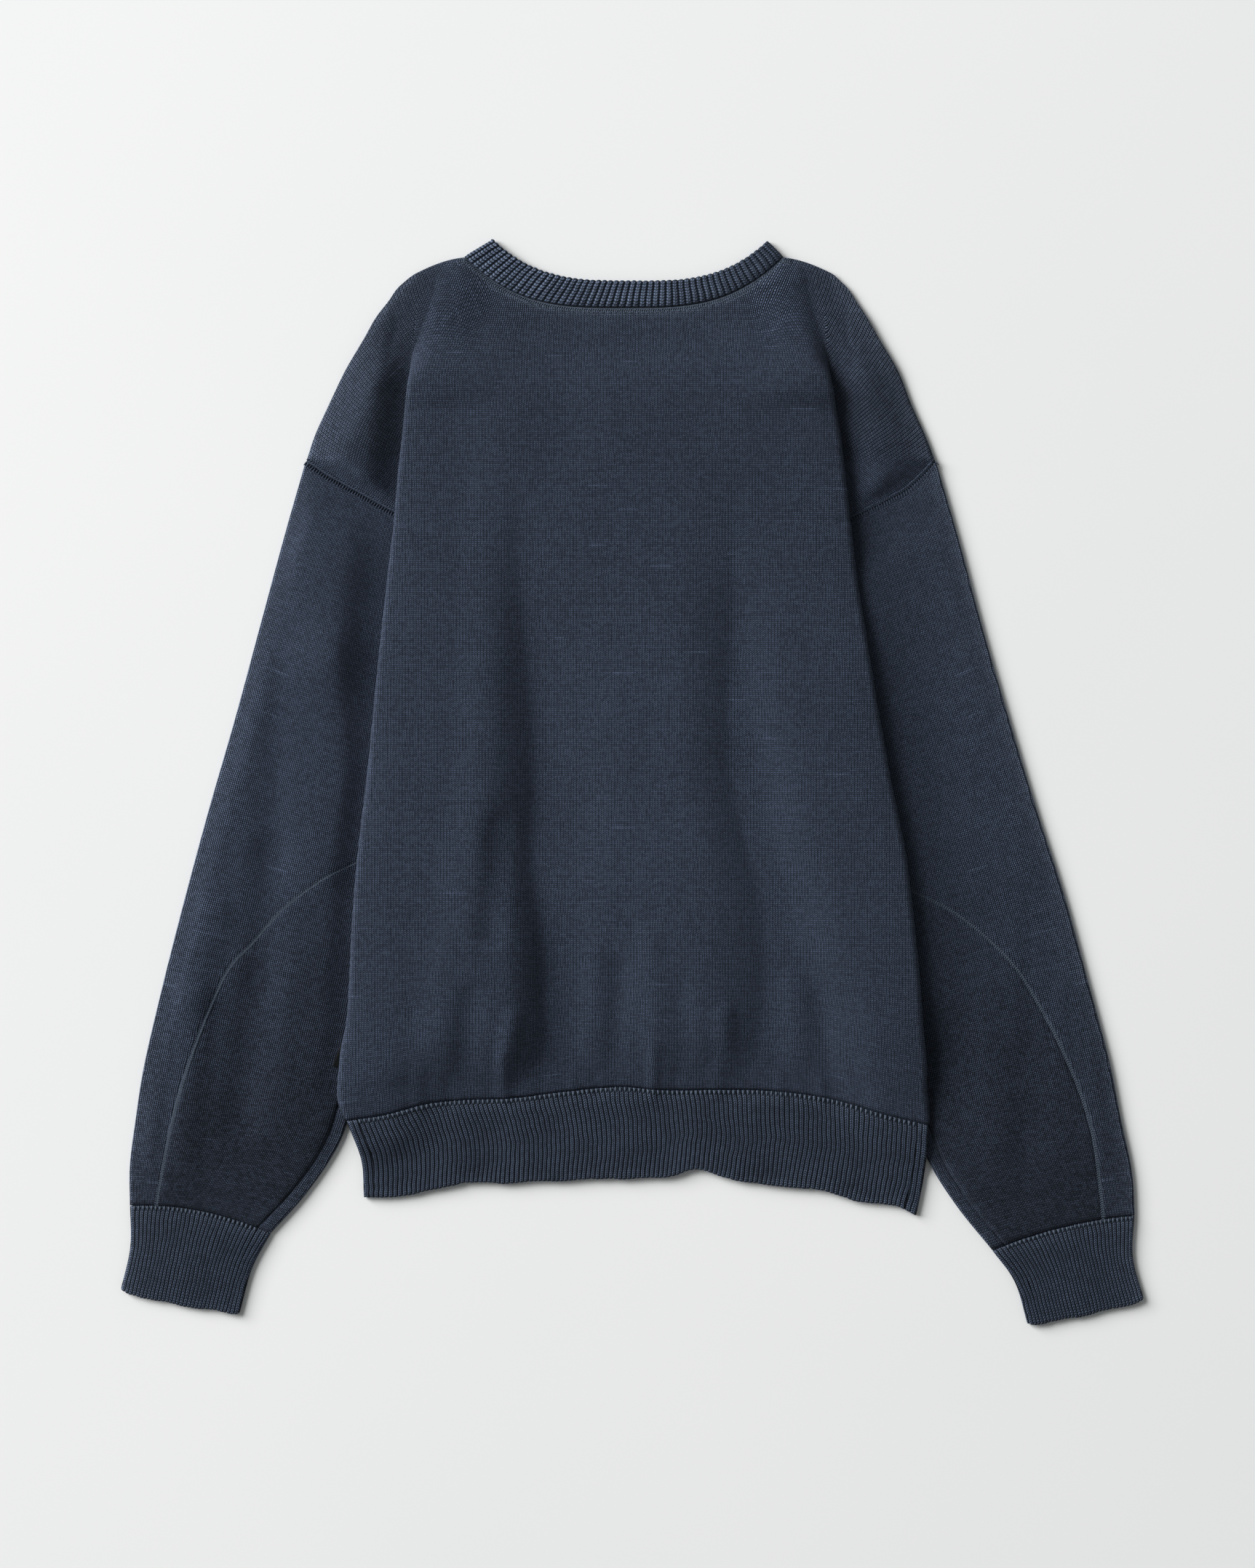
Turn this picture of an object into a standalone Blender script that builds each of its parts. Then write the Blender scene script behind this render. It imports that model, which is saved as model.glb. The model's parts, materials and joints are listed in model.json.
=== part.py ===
"""Crewneck sweater in a heavy knit, laid flat with its back up.

The frame: +X to the right and +Y to the neck as seen from above, +Z up out of the surface that the
garment lies on. Sizes below are millimetres; the mesh is made in metres.

The layers lie on each other and are counted from the surface: sleeve front 0, sleeve back 1, back
panel's turned-under side 2, front panel's turned-under side 3, front panel 4 and back panel 5. In the
middle, clear of the sleeves, the two panels come down to layers 0 and 1.
"""

import math

import bmesh
import bpy
import numpy as np

MM = 0.001

# Cloth
WALL = 1.8
LAYER_GAP = 0.5
SEAM_GAP = 0.3
PITCH = WALL + LAYER_GAP
HEM_RIB_PITCH = 3.3
CUFF_RIB_PITCH = 3.1
NECK_RIB_PITCH = 4.65
RIB_HEIGHT = 0.7

# Body sides: the cloth turns under at a fold, and above the underarm back out again
FOLD_RADIUS = 1.5 * PITCH
RETURN_RADIUS = 0.5 * PITCH
SLOPE_WIDTH = 42.0
STACK_WIDTH = 22.0             # least width of the layers beneath a side
STACK_MARGIN = 6.0
UNDERARM_Y = 180.0
LOFT = 3.0
SIDE_COUNTS = (3, 3, 2, 5)     # steps along the drop shoulder, return, turned-under layer and fold
CENTRE_COUNT = 20

# Body rows, neck to hem: height, left and right fold edge, turn of the fold in degrees, length of the
# turned-under layer, and below the underarm the lift of the sides above the middle, in layers
BODY = (
    ("y", "left", "right", "turn", "tuck", "lift"),
    (355, -135, 122, 0, 2, 0),
    (335, -145, 129, 0, 2, 0),
    (312, -150, 133, 5, 2, 0),
    (299, -153, 135, 45, 2, 0),
    (287, -155, 137, 90, 2, 0),
    (276, -157, 139, 130, 2.5, 0),
    (267, -158, 140, 160, 5, 0),
    (258, -159, 142, 180, 10, 0),
    (242, -160, 145, 180, 20, 0),
    (225, -162, 147, 180, 26, 0),
    (180, -166, 152, 180, 32, 4),
    (145, -170, 156, 180, 36, 4),
    (100, -175, 163, 180, 38, 4),
    (50, -180, 171, 180, 40, 4),
    (0, -185, 180, 180, 40, 4),
    (-50, -191, 190, 180, 38, 4),
    (-100, -195, 196, 180, 33, 4),
    (-140, -197, 200, 180, 26, 4.3),
    (-168, -199, 202, 180, 16, 4.8),
    (-188, -203, 204, 180, 6, 4.8),
    (-198, -204, 205, 150, 4, 4.9),
    (-208, -205, 205, 110, 3, 4.8),
    (-220, -205, 206, 70, 2, 3.9),
    (-237, -199, 206, 30, 2, 2.7),
)

# Outer edge of the drop shoulder, then the armhole seam: height, left and right
SHOULDER = (
    ("y", "left", "right"),
    (355, -155, 142),
    (335, -172, 158),
    (312, -187, 172),
    (288, -201, 186),
    (263, -213, 196),
    (243, -222, 205),
    (225, -228, 212),
    (180, -149, 139),
)

# Neck seam: ends on the shoulder line, depth at the back and at the front, roundness
NECK_LEFT = -117.0
NECK_RIGHT = 105.0
NECK_TOP = 368.0
BACK_NECK_DEPTH = 35.0
FRONT_NECK_DEPTH = 104.0
NECK_POWER = 3.2
BACK_NECK_EASE = 0.5
FRONT_NECK_EASE = 2.3
SHOULDER_RUN = 38.0
SHOULDER_SLOPE = 0.34
COLLAR_LEFT = (-97.0, 380.0)
COLLAR_RIGHT = (94.0, 379.0)
COLLAR_BACK_DEPTH = 28.0
COLLAR_FRONT_DEPTH = 92.0

# Hem: y of the seam and of the lower edge at the middle, how far their ends drop, side edges
HEM_SEAM_Y = -214.0
HEM_SEAM_DROP = 24.0
HEM_EDGE_Y = -275.0
HEM_EDGE_DROP = 22.0
HEM_EDGE_TILT = 6.0
HEM_HALF = 200.0
HEM_SIDES = (
    ("part", "left", "right"),
    (0.0, -199, 206),
    (0.5, -189, 204),
    (1.0, -187, 198),
)
HEM_WRAP = 7.0
HEM_CORNER_LIFT = 2.7 * PITCH
HEM_BEND_START = -120.0        # below this height the body's rows bend to follow the hem seam

# Long soft folds of the back panel: both ends, half width, height (a trough is negative)
BODY_FOLDS = (
    ("x1", "y1", "x2", "y2", "half", "height"),
    (11, 270, 11, -225, 34, 4.0),
    (-84, 230, -86, 20, 22, -3.0),
    (-86, 20, -98, -120, 22, -3.0),
    (-72, -60, -72, -220, 18, -3.2),
    (-96, -150, -92, -225, 10, 2.6),
    (62, 215, 55, 20, 22, -3.0),
    (55, 20, 78, -130, 22, -3.0),
    (78, -130, 66, -220, 18, -3.0),
    (-30, -120, -38, -222, 12, 2.0),
    (36, -150, 40, -222, 10, 1.6),
    (120, -140, 128, -226, 12, 2.0),
)

# Sleeve rows, armhole to cuff: outer and inner edge, upward bow of the row's middle
SLEEVE_LEFT = (
    ("outer_x", "outer_y", "inner_x", "inner_y", "bow"),
    (-228, 225, -133, 171, 0),
    (-243, 172, -138, 122, 0),
    (-260, 109, -143, 62, 0),
    (-277, 46, -149, 2, 0),
    (-296, -20, -158, -58, 0),
    (-313, -83, -170, -116, 0),
    (-328, -142, -182, -170, 0),
    (-341, -198, -196, -222, 0),
    (-347, -236, -207, -254, 2),
    (-351, -268, -229, -287, 4),
    (-351, -296, -254, -315, 6),
)
SLEEVE_RIGHT = (
    ("outer_x", "outer_y", "inner_x", "inner_y", "bow"),
    (212, 225, 119, 167, 0),
    (229, 166, 124, 118, 0),
    (244, 110, 132, 62, 0),
    (262, 48, 142, 2, 0),
    (282, -18, 156, -58, 0),
    (302, -80, 169, -116, 0),
    (318, -138, 183, -172, 0),
    (333, -194, 195, -228, 0),
    (341, -234, 208, -264, 1),
    (349, -272, 228, -296, 3),
    (351, -303, 253, -327, 4),
)

# Curved seam across each sleeve, from the inner edge to the cuff
ARC_LEFT = (
    ("x", "y"),
    (-154, -32),
    (-191, -54),
    (-216, -67),
    (-244, -88),
    (-265, -111),
    (-284, -133),
    (-304, -179),
    (-320, -232),
    (-331, -283),
    (-334, -302),
)
ARC_RIGHT = (
    ("x", "y"),
    (158, -52),
    (199, -77),
    (221, -88),
    (243, -104),
    (262, -122),
    (277, -142),
    (301, -186),
    (321, -239),
    (329, -294),
    (330, -312),
)
UNDERARM_WRAP = 8.0            # how far the lower layer rolls up round the inner edge
SLEEVE_ROWS = 15
SLEEVE_COUNTS = (5, 4, 4, 2)   # steps along the upper layer, each turn, the lower layer and the roll
FOREARM_START = 8.0            # narrowest strip that starts the forearm piece

# Soft folds of the sleeves' upper layer, which start this far out from the body's edge
BODY_SHADOW = 10.0
SLEEVE_FOLDS = (
    ("x1", "y1", "x2", "y2", "half", "height"),
    (-236, 150, -226, 35, 18, 2.5),
    (-233, -100, -256, -216, 20, 3.5),
    (-318, -150, -322, -270, 16, 2.5),
    (252, 60, 285, -60, 24, 2.5),
    (310, -150, 318, -270, 16, 2.5),
    (236, -170, 250, -285, 18, 3.5),
)

# Cuff rows, seam to edge
CUFF_LEFT = (
    ("outer_x", "outer_y", "inner_x", "inner_y", "bow"),
    (-351, -296, -254, -315, 6),
    (-351, -326, -267, -340, 3),
    (-358, -357, -276, -372, -1),
)
CUFF_RIGHT = (
    ("outer_x", "outer_y", "inner_x", "inner_y", "bow"),
    (351, -303, 253, -327, 4),
    (350, -333, 269, -350, 2),
    (358, -363, 278, -380, -1),
)

# Side-seam label, a bare tab under the left side
LABEL_LENGTH = 26.0
LABEL_WIDTH = 12.0
LABEL_THICKNESS = 0.8
LABEL_CENTRE = (-199.5, -188.3)
LABEL_TURN = math.radians(-22.6)

# Finishes: colour, roughness
KNIT = ("heavy_knit", (0.034, 0.043, 0.064), 0.9)
RIB = ("rib_knit", (0.024, 0.031, 0.046), 0.9)
LABEL_TAPE = ("woven_label", (0.008, 0.008, 0.010), 0.6)


def column(table, name):
    """One named column of a table, as an array."""
    index = table[0].index(name)
    return np.array([row[index] for row in table[1:]], dtype=float)


def at_height(table, name, y):
    """A column's value at height y, for a table whose rows run downwards."""
    return np.interp(y, column(table, "y")[::-1], column(table, name)[::-1])


def level(layer):
    """Height of the middle of a wall that lies in the given layer."""
    return WALL / 2 + layer * PITCH


def smooth(t):
    """Rises from 0 to 1 with flat ends."""
    t = np.clip(t, 0.0, 1.0)
    return t * t * (3 - 2 * t)


def soft_folds(table, x, y):
    """Sum of long bumps: round across each fold's line, fading out past its two ends."""
    total = np.zeros(np.broadcast(x, y).shape)
    for x1, y1, x2, y2, half, height in table[1:]:
        along = ((x - x1) * (x2 - x1) + (y - y1) * (y2 - y1)) / ((x2 - x1) ** 2 + (y2 - y1) ** 2)
        t = np.clip(along, 0.0, 1.0)
        distance = np.hypot(x - x1 - t * (x2 - x1), y - y1 - t * (y2 - y1))
        total = total + height * (1 - smooth(distance / (1.6 * half)))
    return total


def neck_curve(x, depth):
    """Height of the panels' top edge: the shoulder lines with the neck scooped out between them."""
    middle = (NECK_LEFT + NECK_RIGHT) / 2
    reach = np.abs(x - middle) / ((NECK_RIGHT - NECK_LEFT) / 2)
    scoop = NECK_TOP - depth * (1 - np.minimum(reach, 1.0) ** NECK_POWER)
    beyond = np.clip(np.abs(x - middle) - (NECK_RIGHT - NECK_LEFT) / 2, 0.0, SHOULDER_RUN)
    shoulder = NECK_TOP - SHOULDER_SLOPE * beyond
    return np.where(reach < 1.0, scoop, shoulder)


def hem_seam(x):
    """Height of the seam between body and hem rib: lower towards the sides."""
    return HEM_SEAM_Y - HEM_SEAM_DROP * np.abs(x / HEM_HALF) ** 2.2


def hem_edge(x):
    """Height of the hem's lower edge: lower towards the sides, a little more on the right."""
    return HEM_EDGE_Y - HEM_EDGE_DROP * (x / HEM_HALF) ** 2 - HEM_EDGE_TILT * x / HEM_HALF


def new_object(name, finish, mesh, collection):
    """An object in the garment's collection, with its own material."""
    title, colour, roughness = finish
    material = bpy.data.materials.new(f"{name}_{title}")
    material.use_nodes = True
    shader = material.node_tree.nodes["Principled BSDF"]
    shader.inputs["Base Color"].default_value = (*colour, 1.0)
    shader.inputs["Roughness"].default_value = roughness
    shader.inputs["Metallic"].default_value = 0.0
    mesh.materials.append(material)
    obj = bpy.data.objects.new(name, mesh)
    collection.objects.link(obj)
    return obj


def normals(grid, closed):
    """Unit normals of a grid of points, from its two directions."""
    if closed:
        along = np.roll(grid, -1, axis=1) - np.roll(grid, 1, axis=1)
    else:
        along = np.gradient(grid, axis=1)
    across = np.gradient(grid, axis=0)
    normal = np.cross(along, across)
    return normal / np.linalg.norm(normal, axis=2, keepdims=True)


def wall(name, finish, collection, grid, outward=1.0, raised=None, keep=None, closed=False):
    """A closed wall of cloth round a grid of middle points, with its outer points raised."""
    rows, cols = grid.shape[:2]
    normal = normals(grid, closed) * outward
    extra = np.zeros((rows, cols)) if raised is None else raised
    outer = grid + normal * (WALL / 2 + extra)[..., None]
    inner = grid - normal * (WALL / 2)
    if keep is None:
        keep = np.ones((rows - 1, cols if closed else cols - 1), dtype=bool)
    shape = bmesh.new()
    points = [shape.verts.new(p * MM) for p in outer.reshape(-1, 3)]
    backs = [shape.verts.new(p * MM) for p in inner.reshape(-1, 3)]
    edges = {}
    for r, c in zip(*np.nonzero(keep)):
        right = (c + 1) % cols
        corners = (r * cols + c, r * cols + right, (r + 1) * cols + right, (r + 1) * cols + c)
        for half in (corners[:3], (corners[0], corners[2], corners[3])):
            shape.faces.new([points[i] for i in half])
            shape.faces.new([backs[i] for i in reversed(half)])
        for a, b in zip(corners, corners[1:] + corners[:1]):
            edges[a, b] = (b, a)
    for (a, b), opposite in edges.items():
        if opposite not in edges:
            shape.faces.new((points[b], points[a], backs[a], backs[b]))
    loose = [v for v in shape.verts if not v.link_faces]
    bmesh.ops.delete(shape, geom=loose, context="VERTS")
    bmesh.ops.recalc_face_normals(shape, faces=shape.faces)
    mesh = bpy.data.meshes.new(name)
    shape.to_mesh(mesh)
    shape.free()
    return new_object(name, finish, mesh, collection)


def fold_side(y, side, depth):
    """Section of one side from its outer end in to the top of the fold, as distance and height.

    Read inwards out: round the fold, along the turned-under layer, back round the return, and out
    along the drop shoulder. The panel at the given depth below the back keeps parallel to it.
    """
    drop_count, return_count, tuck_count, fold_count = SIDE_COUNTS
    edge = at_height(BODY, "left" if side < 0 else "right", y)
    turn = max(math.radians(at_height(BODY, "turn", y)), 0.02)
    tuck = at_height(BODY, "tuck", y)
    slack = math.pi / turn if y > UNDERARM_Y else 1.0
    fold_radius = FOLD_RADIUS * slack
    return_radius = RETURN_RADIUS * slack
    rise = (fold_radius + return_radius) * (1 - math.cos(turn)) + tuck * math.sin(turn)
    top = level(1) + (rise if y > UNDERARM_Y else at_height(BODY, "lift", y) * PITCH)
    start = fold_radius * math.sin(min(turn, math.pi / 2))

    angle = np.linspace(0.0, turn, fold_count + 1)
    fold = np.stack((start - (fold_radius - depth) * np.sin(angle),
                     top - fold_radius + (fold_radius - depth) * np.cos(angle)), axis=1)
    run = np.linspace(0.0, tuck, tuck_count + 1)[1:, None]
    under = fold[-1] + run * np.array((-math.cos(turn), -math.sin(turn)))
    side_normal = np.array((math.sin(turn), -math.cos(turn)))
    hub = under[-1] - side_normal * (return_radius + depth)
    angle = np.linspace(turn, 0.0, return_count + 1)[1:]
    back = hub + (return_radius + depth) * np.stack((np.sin(angle), -np.cos(angle)), axis=1)
    outer = side * (edge - at_height(SHOULDER, "left" if side < 0 else "right", y))
    out = np.linspace(back[-1][0], outer, drop_count + 1)[1:]
    drop = np.stack((out, np.full(drop_count, back[-1][1])), axis=1)
    section = np.concatenate((fold, under, back, drop))[::-1]
    return edge - side * section[:, 0], section[:, 1], top - level(1), start


def side_share(x, y):
    """1 over the layers tucked beneath a side, falling to 0 towards the middle of the body."""
    share = np.zeros(np.broadcast(x, y).shape)
    for side, name in ((-1, "left"), (1, "right")):
        inward = side * (at_height(BODY, name, y) - x)
        stack = np.maximum(at_height(BODY, "tuck", y) + FOLD_RADIUS, STACK_WIDTH)
        stack = stack + RETURN_RADIUS + STACK_MARGIN
        share = share + 1 - smooth((inward - stack) / SLOPE_WIDTH)
    return share


def body_loft(x, y, top_y):
    """How far the back panel stands off the front one: soft folds, none at the sides and seams."""
    fade = (1 - side_share(x, y)) * smooth((top_y - y) / 50) * smooth((y - hem_seam(x)) / 30 + 0.25)
    return np.maximum(LOFT + soft_folds(BODY_FOLDS, x, y), 0.0) * fade


def body_panel(name, collection, depth, neck_depth):
    """The back (depth 0) or the front panel: rows of one section, from the neck to the hem seam."""
    rows = column(BODY, "y")
    top_y = rows[0]
    grid = []
    for y in rows:
        left_x, left_z, left_lift, left_start = fold_side(y, -1, depth)
        right_x, right_z, right_lift, right_start = fold_side(y, 1, depth)
        x = np.linspace(left_x[-1], right_x[-1], CENTRE_COUNT + 1)[1:-1]
        lift = np.where(x < 0, left_lift, right_lift) * side_share(x * (1 - depth / 150), y)
        z = level(1) - depth + lift
        x = np.concatenate((left_x, x, right_x[::-1]))
        z = np.concatenate((left_z, z, right_z[::-1]))
        grid.append(np.stack((x, np.full_like(x, y), z), axis=1))
    grid = np.array(grid)
    x, y = grid[..., 0], grid[..., 1]
    bend = neck_curve(x, neck_depth) - SEAM_GAP - top_y
    upper = np.clip(1 - (top_y - y) / (40 + 1.6 * np.abs(bend)), 0, 1)
    lower = np.clip((y - HEM_BEND_START) / (rows[-1] - HEM_BEND_START), 0, 1)
    seam_y = hem_seam(x) + SEAM_GAP
    new_y = y + bend * upper + (seam_y - rows[-1]) * lower
    if depth == 0:
        centre = slice(left_x.size, left_x.size + CENTRE_COUNT - 1)
        top_edge = neck_curve(x, neck_depth)
        grid[:, centre, 2] += body_loft(x, new_y, top_edge)[:, centre]
    grid[..., 1] = new_y
    keep = np.ones((rows.size - 1, grid.shape[1] - 1), dtype=bool)
    ends = SIDE_COUNTS[0] + SIDE_COUNTS[1]
    below = rows[1:] < UNDERARM_Y
    keep[np.ix_(below, range(ends))] = False
    keep[np.ix_(below, range(keep.shape[1] - ends, keep.shape[1]))] = False
    return wall(name, KNIT, collection, grid, outward=-1.0, keep=keep)


def ring(width, start, end, counts):
    """Section of a flattened tube: distance from the outer edge and height at each point.

    It starts on the upper layer, runs out round the outer edge, back along the lower layer, up round
    the inner edge, and ends on the upper layer again.
    """
    top_count, turn_count, bottom_count, lap_count = counts
    radius = PITCH / 2
    middle = level(0) + radius
    angle = np.linspace(0, math.pi, turn_count + 1)
    top = np.linspace(start, radius, top_count + 1)
    bottom = np.linspace(radius, width - radius, bottom_count + 1)[1:-1]
    lap = np.linspace(width - radius, end, lap_count + 1)[1:]
    distance = np.concatenate((top[:-1], radius - radius * np.sin(angle), bottom,
                               width - radius + radius * np.sin(angle), lap))
    height = np.concatenate((np.full(top_count, middle + radius), middle + radius * np.cos(angle),
                             np.full(bottom.size, level(0)), middle - radius * np.cos(angle),
                             np.full(lap_count, middle + radius)))
    return distance, height


def row_points(row, distance, height):
    """Places a section on a sleeve or cuff row: outer edge to inner edge, with its bow."""
    outer_x, outer_y, inner_x, inner_y, bow = row
    span = np.array((inner_x - outer_x, inner_y - outer_y))
    width = np.linalg.norm(span)
    share = distance / width
    x = outer_x + span[0] * share
    y = outer_y + span[1] * share + bow * 4 * share * (1 - share)
    return np.stack((x, y, height), axis=1)


def resample(table, count):
    """Rows at even steps between a table's rows, joined by a smooth curve."""
    rows = np.array(table[1:], dtype=float)
    padded = np.vstack((2 * rows[0] - rows[1], rows, 2 * rows[-1] - rows[-2]))
    place = np.linspace(0, len(rows) - 1, count)
    index = np.minimum(place.astype(int), len(rows) - 2)
    t = (place - index)[:, None]
    p0, p1, p2, p3 = padded[index], padded[index + 1], padded[index + 2], padded[index + 3]
    curve = 2 * p1 + (p2 - p0) * t + (2 * p0 - 5 * p1 + 4 * p2 - p3) * t ** 2
    return (curve + (3 * p1 - p0 - 3 * p2 + p3) * t ** 3) / 2


def crossing(row, arc):
    """Distance from a row's outer edge to the curved seam, or None where the row misses it."""
    outer = np.array(row[:2])
    span = np.array(row[2:4]) - outer
    width = np.linalg.norm(span)
    share = np.linspace(0.0, 1.0, 200)
    x = outer[0] + span[0] * share
    y = outer[1] + span[1] * share + row[4] * 4 * share * (1 - share)
    order = np.argsort(arc[:, 0])
    below = y < np.interp(x, arc[order, 0], arc[order, 1])
    hits = np.nonzero(below[1:] & ~below[:-1])[0]
    if hits.size == 0 or below[0]:
        return None
    return width * share[hits[0] + 1]


def sleeve_loft(points, side_name):
    """How far soft folds raise a sleeve's upper layer: not where the body lies on it."""
    x, y, z = points.T
    clear = np.abs(x) - np.abs(at_height(BODY, side_name, y))
    open_share = smooth((clear - BODY_SHADOW) / 30)
    return soft_folds(SLEEVE_FOLDS, x, y) * open_share * (z > level(1) - 0.01)


def edge_fade(distance, width):
    """0 at a tube's two edges, 1 some way in."""
    return smooth(distance / 14) * smooth((width - distance) / 18)


def sleeve(name, collection, table, arc_table, side, side_name):
    """A sleeve in two pieces: the main one wraps round both edges, the forearm one fills the arc."""
    rows = resample(table, SLEEVE_ROWS)
    rows[0, [1, 3]] -= 1.5 * SEAM_GAP
    arc = resample(arc_table, 60)
    main, forearm = [], []
    for number, row in enumerate(rows):
        width = math.hypot(row[2] - row[0], row[3] - row[1])
        end = width - UNDERARM_WRAP
        cut = crossing(row, arc)
        start = end - SEAM_GAP if cut is None else min(cut, end - SEAM_GAP)
        distance, height = ring(width, start, end, SLEEVE_COUNTS)
        points = row_points(row, distance, height)
        fade = edge_fade(distance, width) * smooth(number / 2) * smooth((len(rows) - 1 - number) / 2)
        points[:, 2] += sleeve_loft(points, side_name) * fade
        main.append(points)
        if cut is not None and end - cut > FOREARM_START:
            distance = np.linspace(cut + (SEAM_GAP if forearm else 2.0), end - SEAM_GAP, 7)
            points = row_points(row, distance, np.full(7, level(1)))
            fade = edge_fade(distance, width) * smooth((len(rows) - 1 - number) / 2)
            points[:, 2] += sleeve_loft(points, side_name) * fade
            forearm.append(points)
    wall(f"{name}_main", KNIT, collection, np.array(main), outward=-side)
    wall(f"{name}_forearm", KNIT, collection, np.array(forearm), outward=side)


def rib_rise(distance, upper):
    """Ribs along the wall on the points that lie on the upper layer: every other point is raised."""
    raised = np.zeros(distance.size)
    raised[upper] = RIB_HEIGHT * (np.arange(upper.sum()) % 2)
    return raised


def cuff(name, collection, table, side):
    """A cuff: one ribbed band wrapped round, with its seam two ribs in from the inner edge."""
    rows = resample(table, 3)
    rows[0, [1, 3]] -= 1.7 * SEAM_GAP
    width = math.hypot(rows[0, 2] - rows[0, 0], rows[0, 3] - rows[0, 1])
    rib_count = round((width - UNDERARM_WRAP) / CUFF_RIB_PITCH)
    grid, raised = [], []
    for row in rows:
        width = math.hypot(row[2] - row[0], row[3] - row[1])
        end = width - UNDERARM_WRAP
        distance, height = ring(width, end - SEAM_GAP, end, (2 * rib_count, 4, 5, 4))
        grid.append(row_points(row, distance, height))
        raised.append(rib_rise(distance, height > level(1) - 0.01))
    wall(name, RIB, collection, np.array(grid), outward=-side, raised=np.array(raised))


def hem_rows():
    """The hem rib's rows: share of the way down, left and right edge."""
    return resample(HEM_SIDES, 3)


def hem_height(x, y):
    """Lift of the hem's top corners, where they meet the body's raised sides and the sleeves."""
    near = smooth((np.abs(x - 3) - 155) / 42)
    down = hem_seam(x) - y
    return HEM_CORNER_LIFT * near * (1 - smooth((down - 16) / 22))


def place_hem(distance, height, left, share):
    """Places a hem section: distance from the left edge, and share of the way down the rib."""
    x = left + distance
    y = hem_seam(x) * (1 - share) + hem_edge(x) * share
    y = np.where(share == 0, y - SEAM_GAP, y)
    return np.stack((x, y, height + hem_height(x, y)), axis=1)


def hem(collection):
    """The hem rib: a back strip between the side seams, and a front one that wraps round the sides."""
    rows = hem_rows()
    rib_count = round((rows[0, 2] - rows[0, 1] - 2 * HEM_WRAP) / HEM_RIB_PITCH)
    back, back_raised, front = [], [], []
    for share, left, right in rows:
        width = right - left
        distance = np.linspace(HEM_WRAP + SEAM_GAP, width - HEM_WRAP - SEAM_GAP, 2 * rib_count + 1)
        back.append(place_hem(distance, np.full(distance.size, level(1)), left, share))
        back_raised.append(RIB_HEIGHT * (np.arange(distance.size) % 2))
        distance, height = ring(width, HEM_WRAP, width - HEM_WRAP, (2, 4, 48, 2))
        front.append(place_hem(distance, height, left, share))
    wall("hem_rib_back", RIB, collection, np.array(back), outward=-1.0, raised=np.array(back_raised))
    wall("hem_rib_front", RIB, collection, np.array(front), outward=1.0)


def neck_row(share, rib_count, front_count):
    """One row of the neck ring, share 0 at the neck seam and 1 at the opening's edge."""
    left = np.array((NECK_LEFT, NECK_TOP)) * (1 - share) + np.array(COLLAR_LEFT) * share
    right = np.array((NECK_RIGHT, NECK_TOP)) * (1 - share) + np.array(COLLAR_RIGHT) * share
    back_depth = BACK_NECK_DEPTH * (1 - share) + COLLAR_BACK_DEPTH * share
    front_depth = FRONT_NECK_DEPTH * (1 - share) + COLLAR_FRONT_DEPTH * share
    width = right[0] - left[0]
    radius = PITCH / 2
    angle = np.linspace(0, math.pi, 5)
    upper = np.linspace(radius, width - radius, 2 * rib_count + 1)
    lower = np.linspace(width - radius, radius, front_count + 1)[1:-1]
    distance = np.concatenate((upper[:-1], width - radius + radius * np.sin(angle), lower,
                               radius - radius * np.sin(angle)[:-1]))
    turn_down = level(0) + radius + radius * np.cos(angle)
    height = np.concatenate((np.full(2 * rib_count, level(1)), turn_down,
                             np.full(lower.size, level(0)), turn_down[:0:-1]))
    depth = np.where(height > level(0) + radius, back_depth, front_depth)
    reach = np.abs(2 * distance / width - 1)
    line = left[1] + (right[1] - left[1]) * distance / width
    y = line - depth * (1 - np.minimum(reach, 1.0) ** NECK_POWER)
    raised = np.zeros(distance.size)
    raised[:2 * rib_count] = RIB_HEIGHT * (np.arange(2 * rib_count) % 2)
    return np.stack((left[0] + distance, y, height), axis=1), raised


def neck(collection):
    """The neck rib: one closed ring, its back over its front, folded at the two corners."""
    rib_count = round(1.04 * (NECK_RIGHT - NECK_LEFT) / NECK_RIB_PITCH)
    rows = [neck_row(share, rib_count, 24) for share in (0.0, 0.5, 1.0)]
    grid = np.array([points for points, _ in rows])
    raised = np.array([rise for _, rise in rows])
    wall("neck_rib", RIB, collection, grid, outward=1.0, raised=raised, closed=True)


def label(collection):
    """The label: a flat tab that lies on the sleeve, under the body's turned side."""
    shape = bmesh.new()
    bmesh.ops.create_cube(shape, size=1.0)
    size = (LABEL_WIDTH * MM, LABEL_LENGTH * MM, LABEL_THICKNESS * MM)
    bmesh.ops.scale(shape, vec=size, verts=shape.verts)
    mesh = bpy.data.meshes.new("side_label")
    shape.to_mesh(mesh)
    shape.free()
    obj = new_object("side_label", LABEL_TAPE, mesh, collection)
    height = level(1) + WALL / 2 + SEAM_GAP + LABEL_THICKNESS / 2
    obj.location = (LABEL_CENTRE[0] * MM, LABEL_CENTRE[1] * MM, height * MM)
    obj.rotation_euler = (0.0, 0.0, LABEL_TURN)


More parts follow.
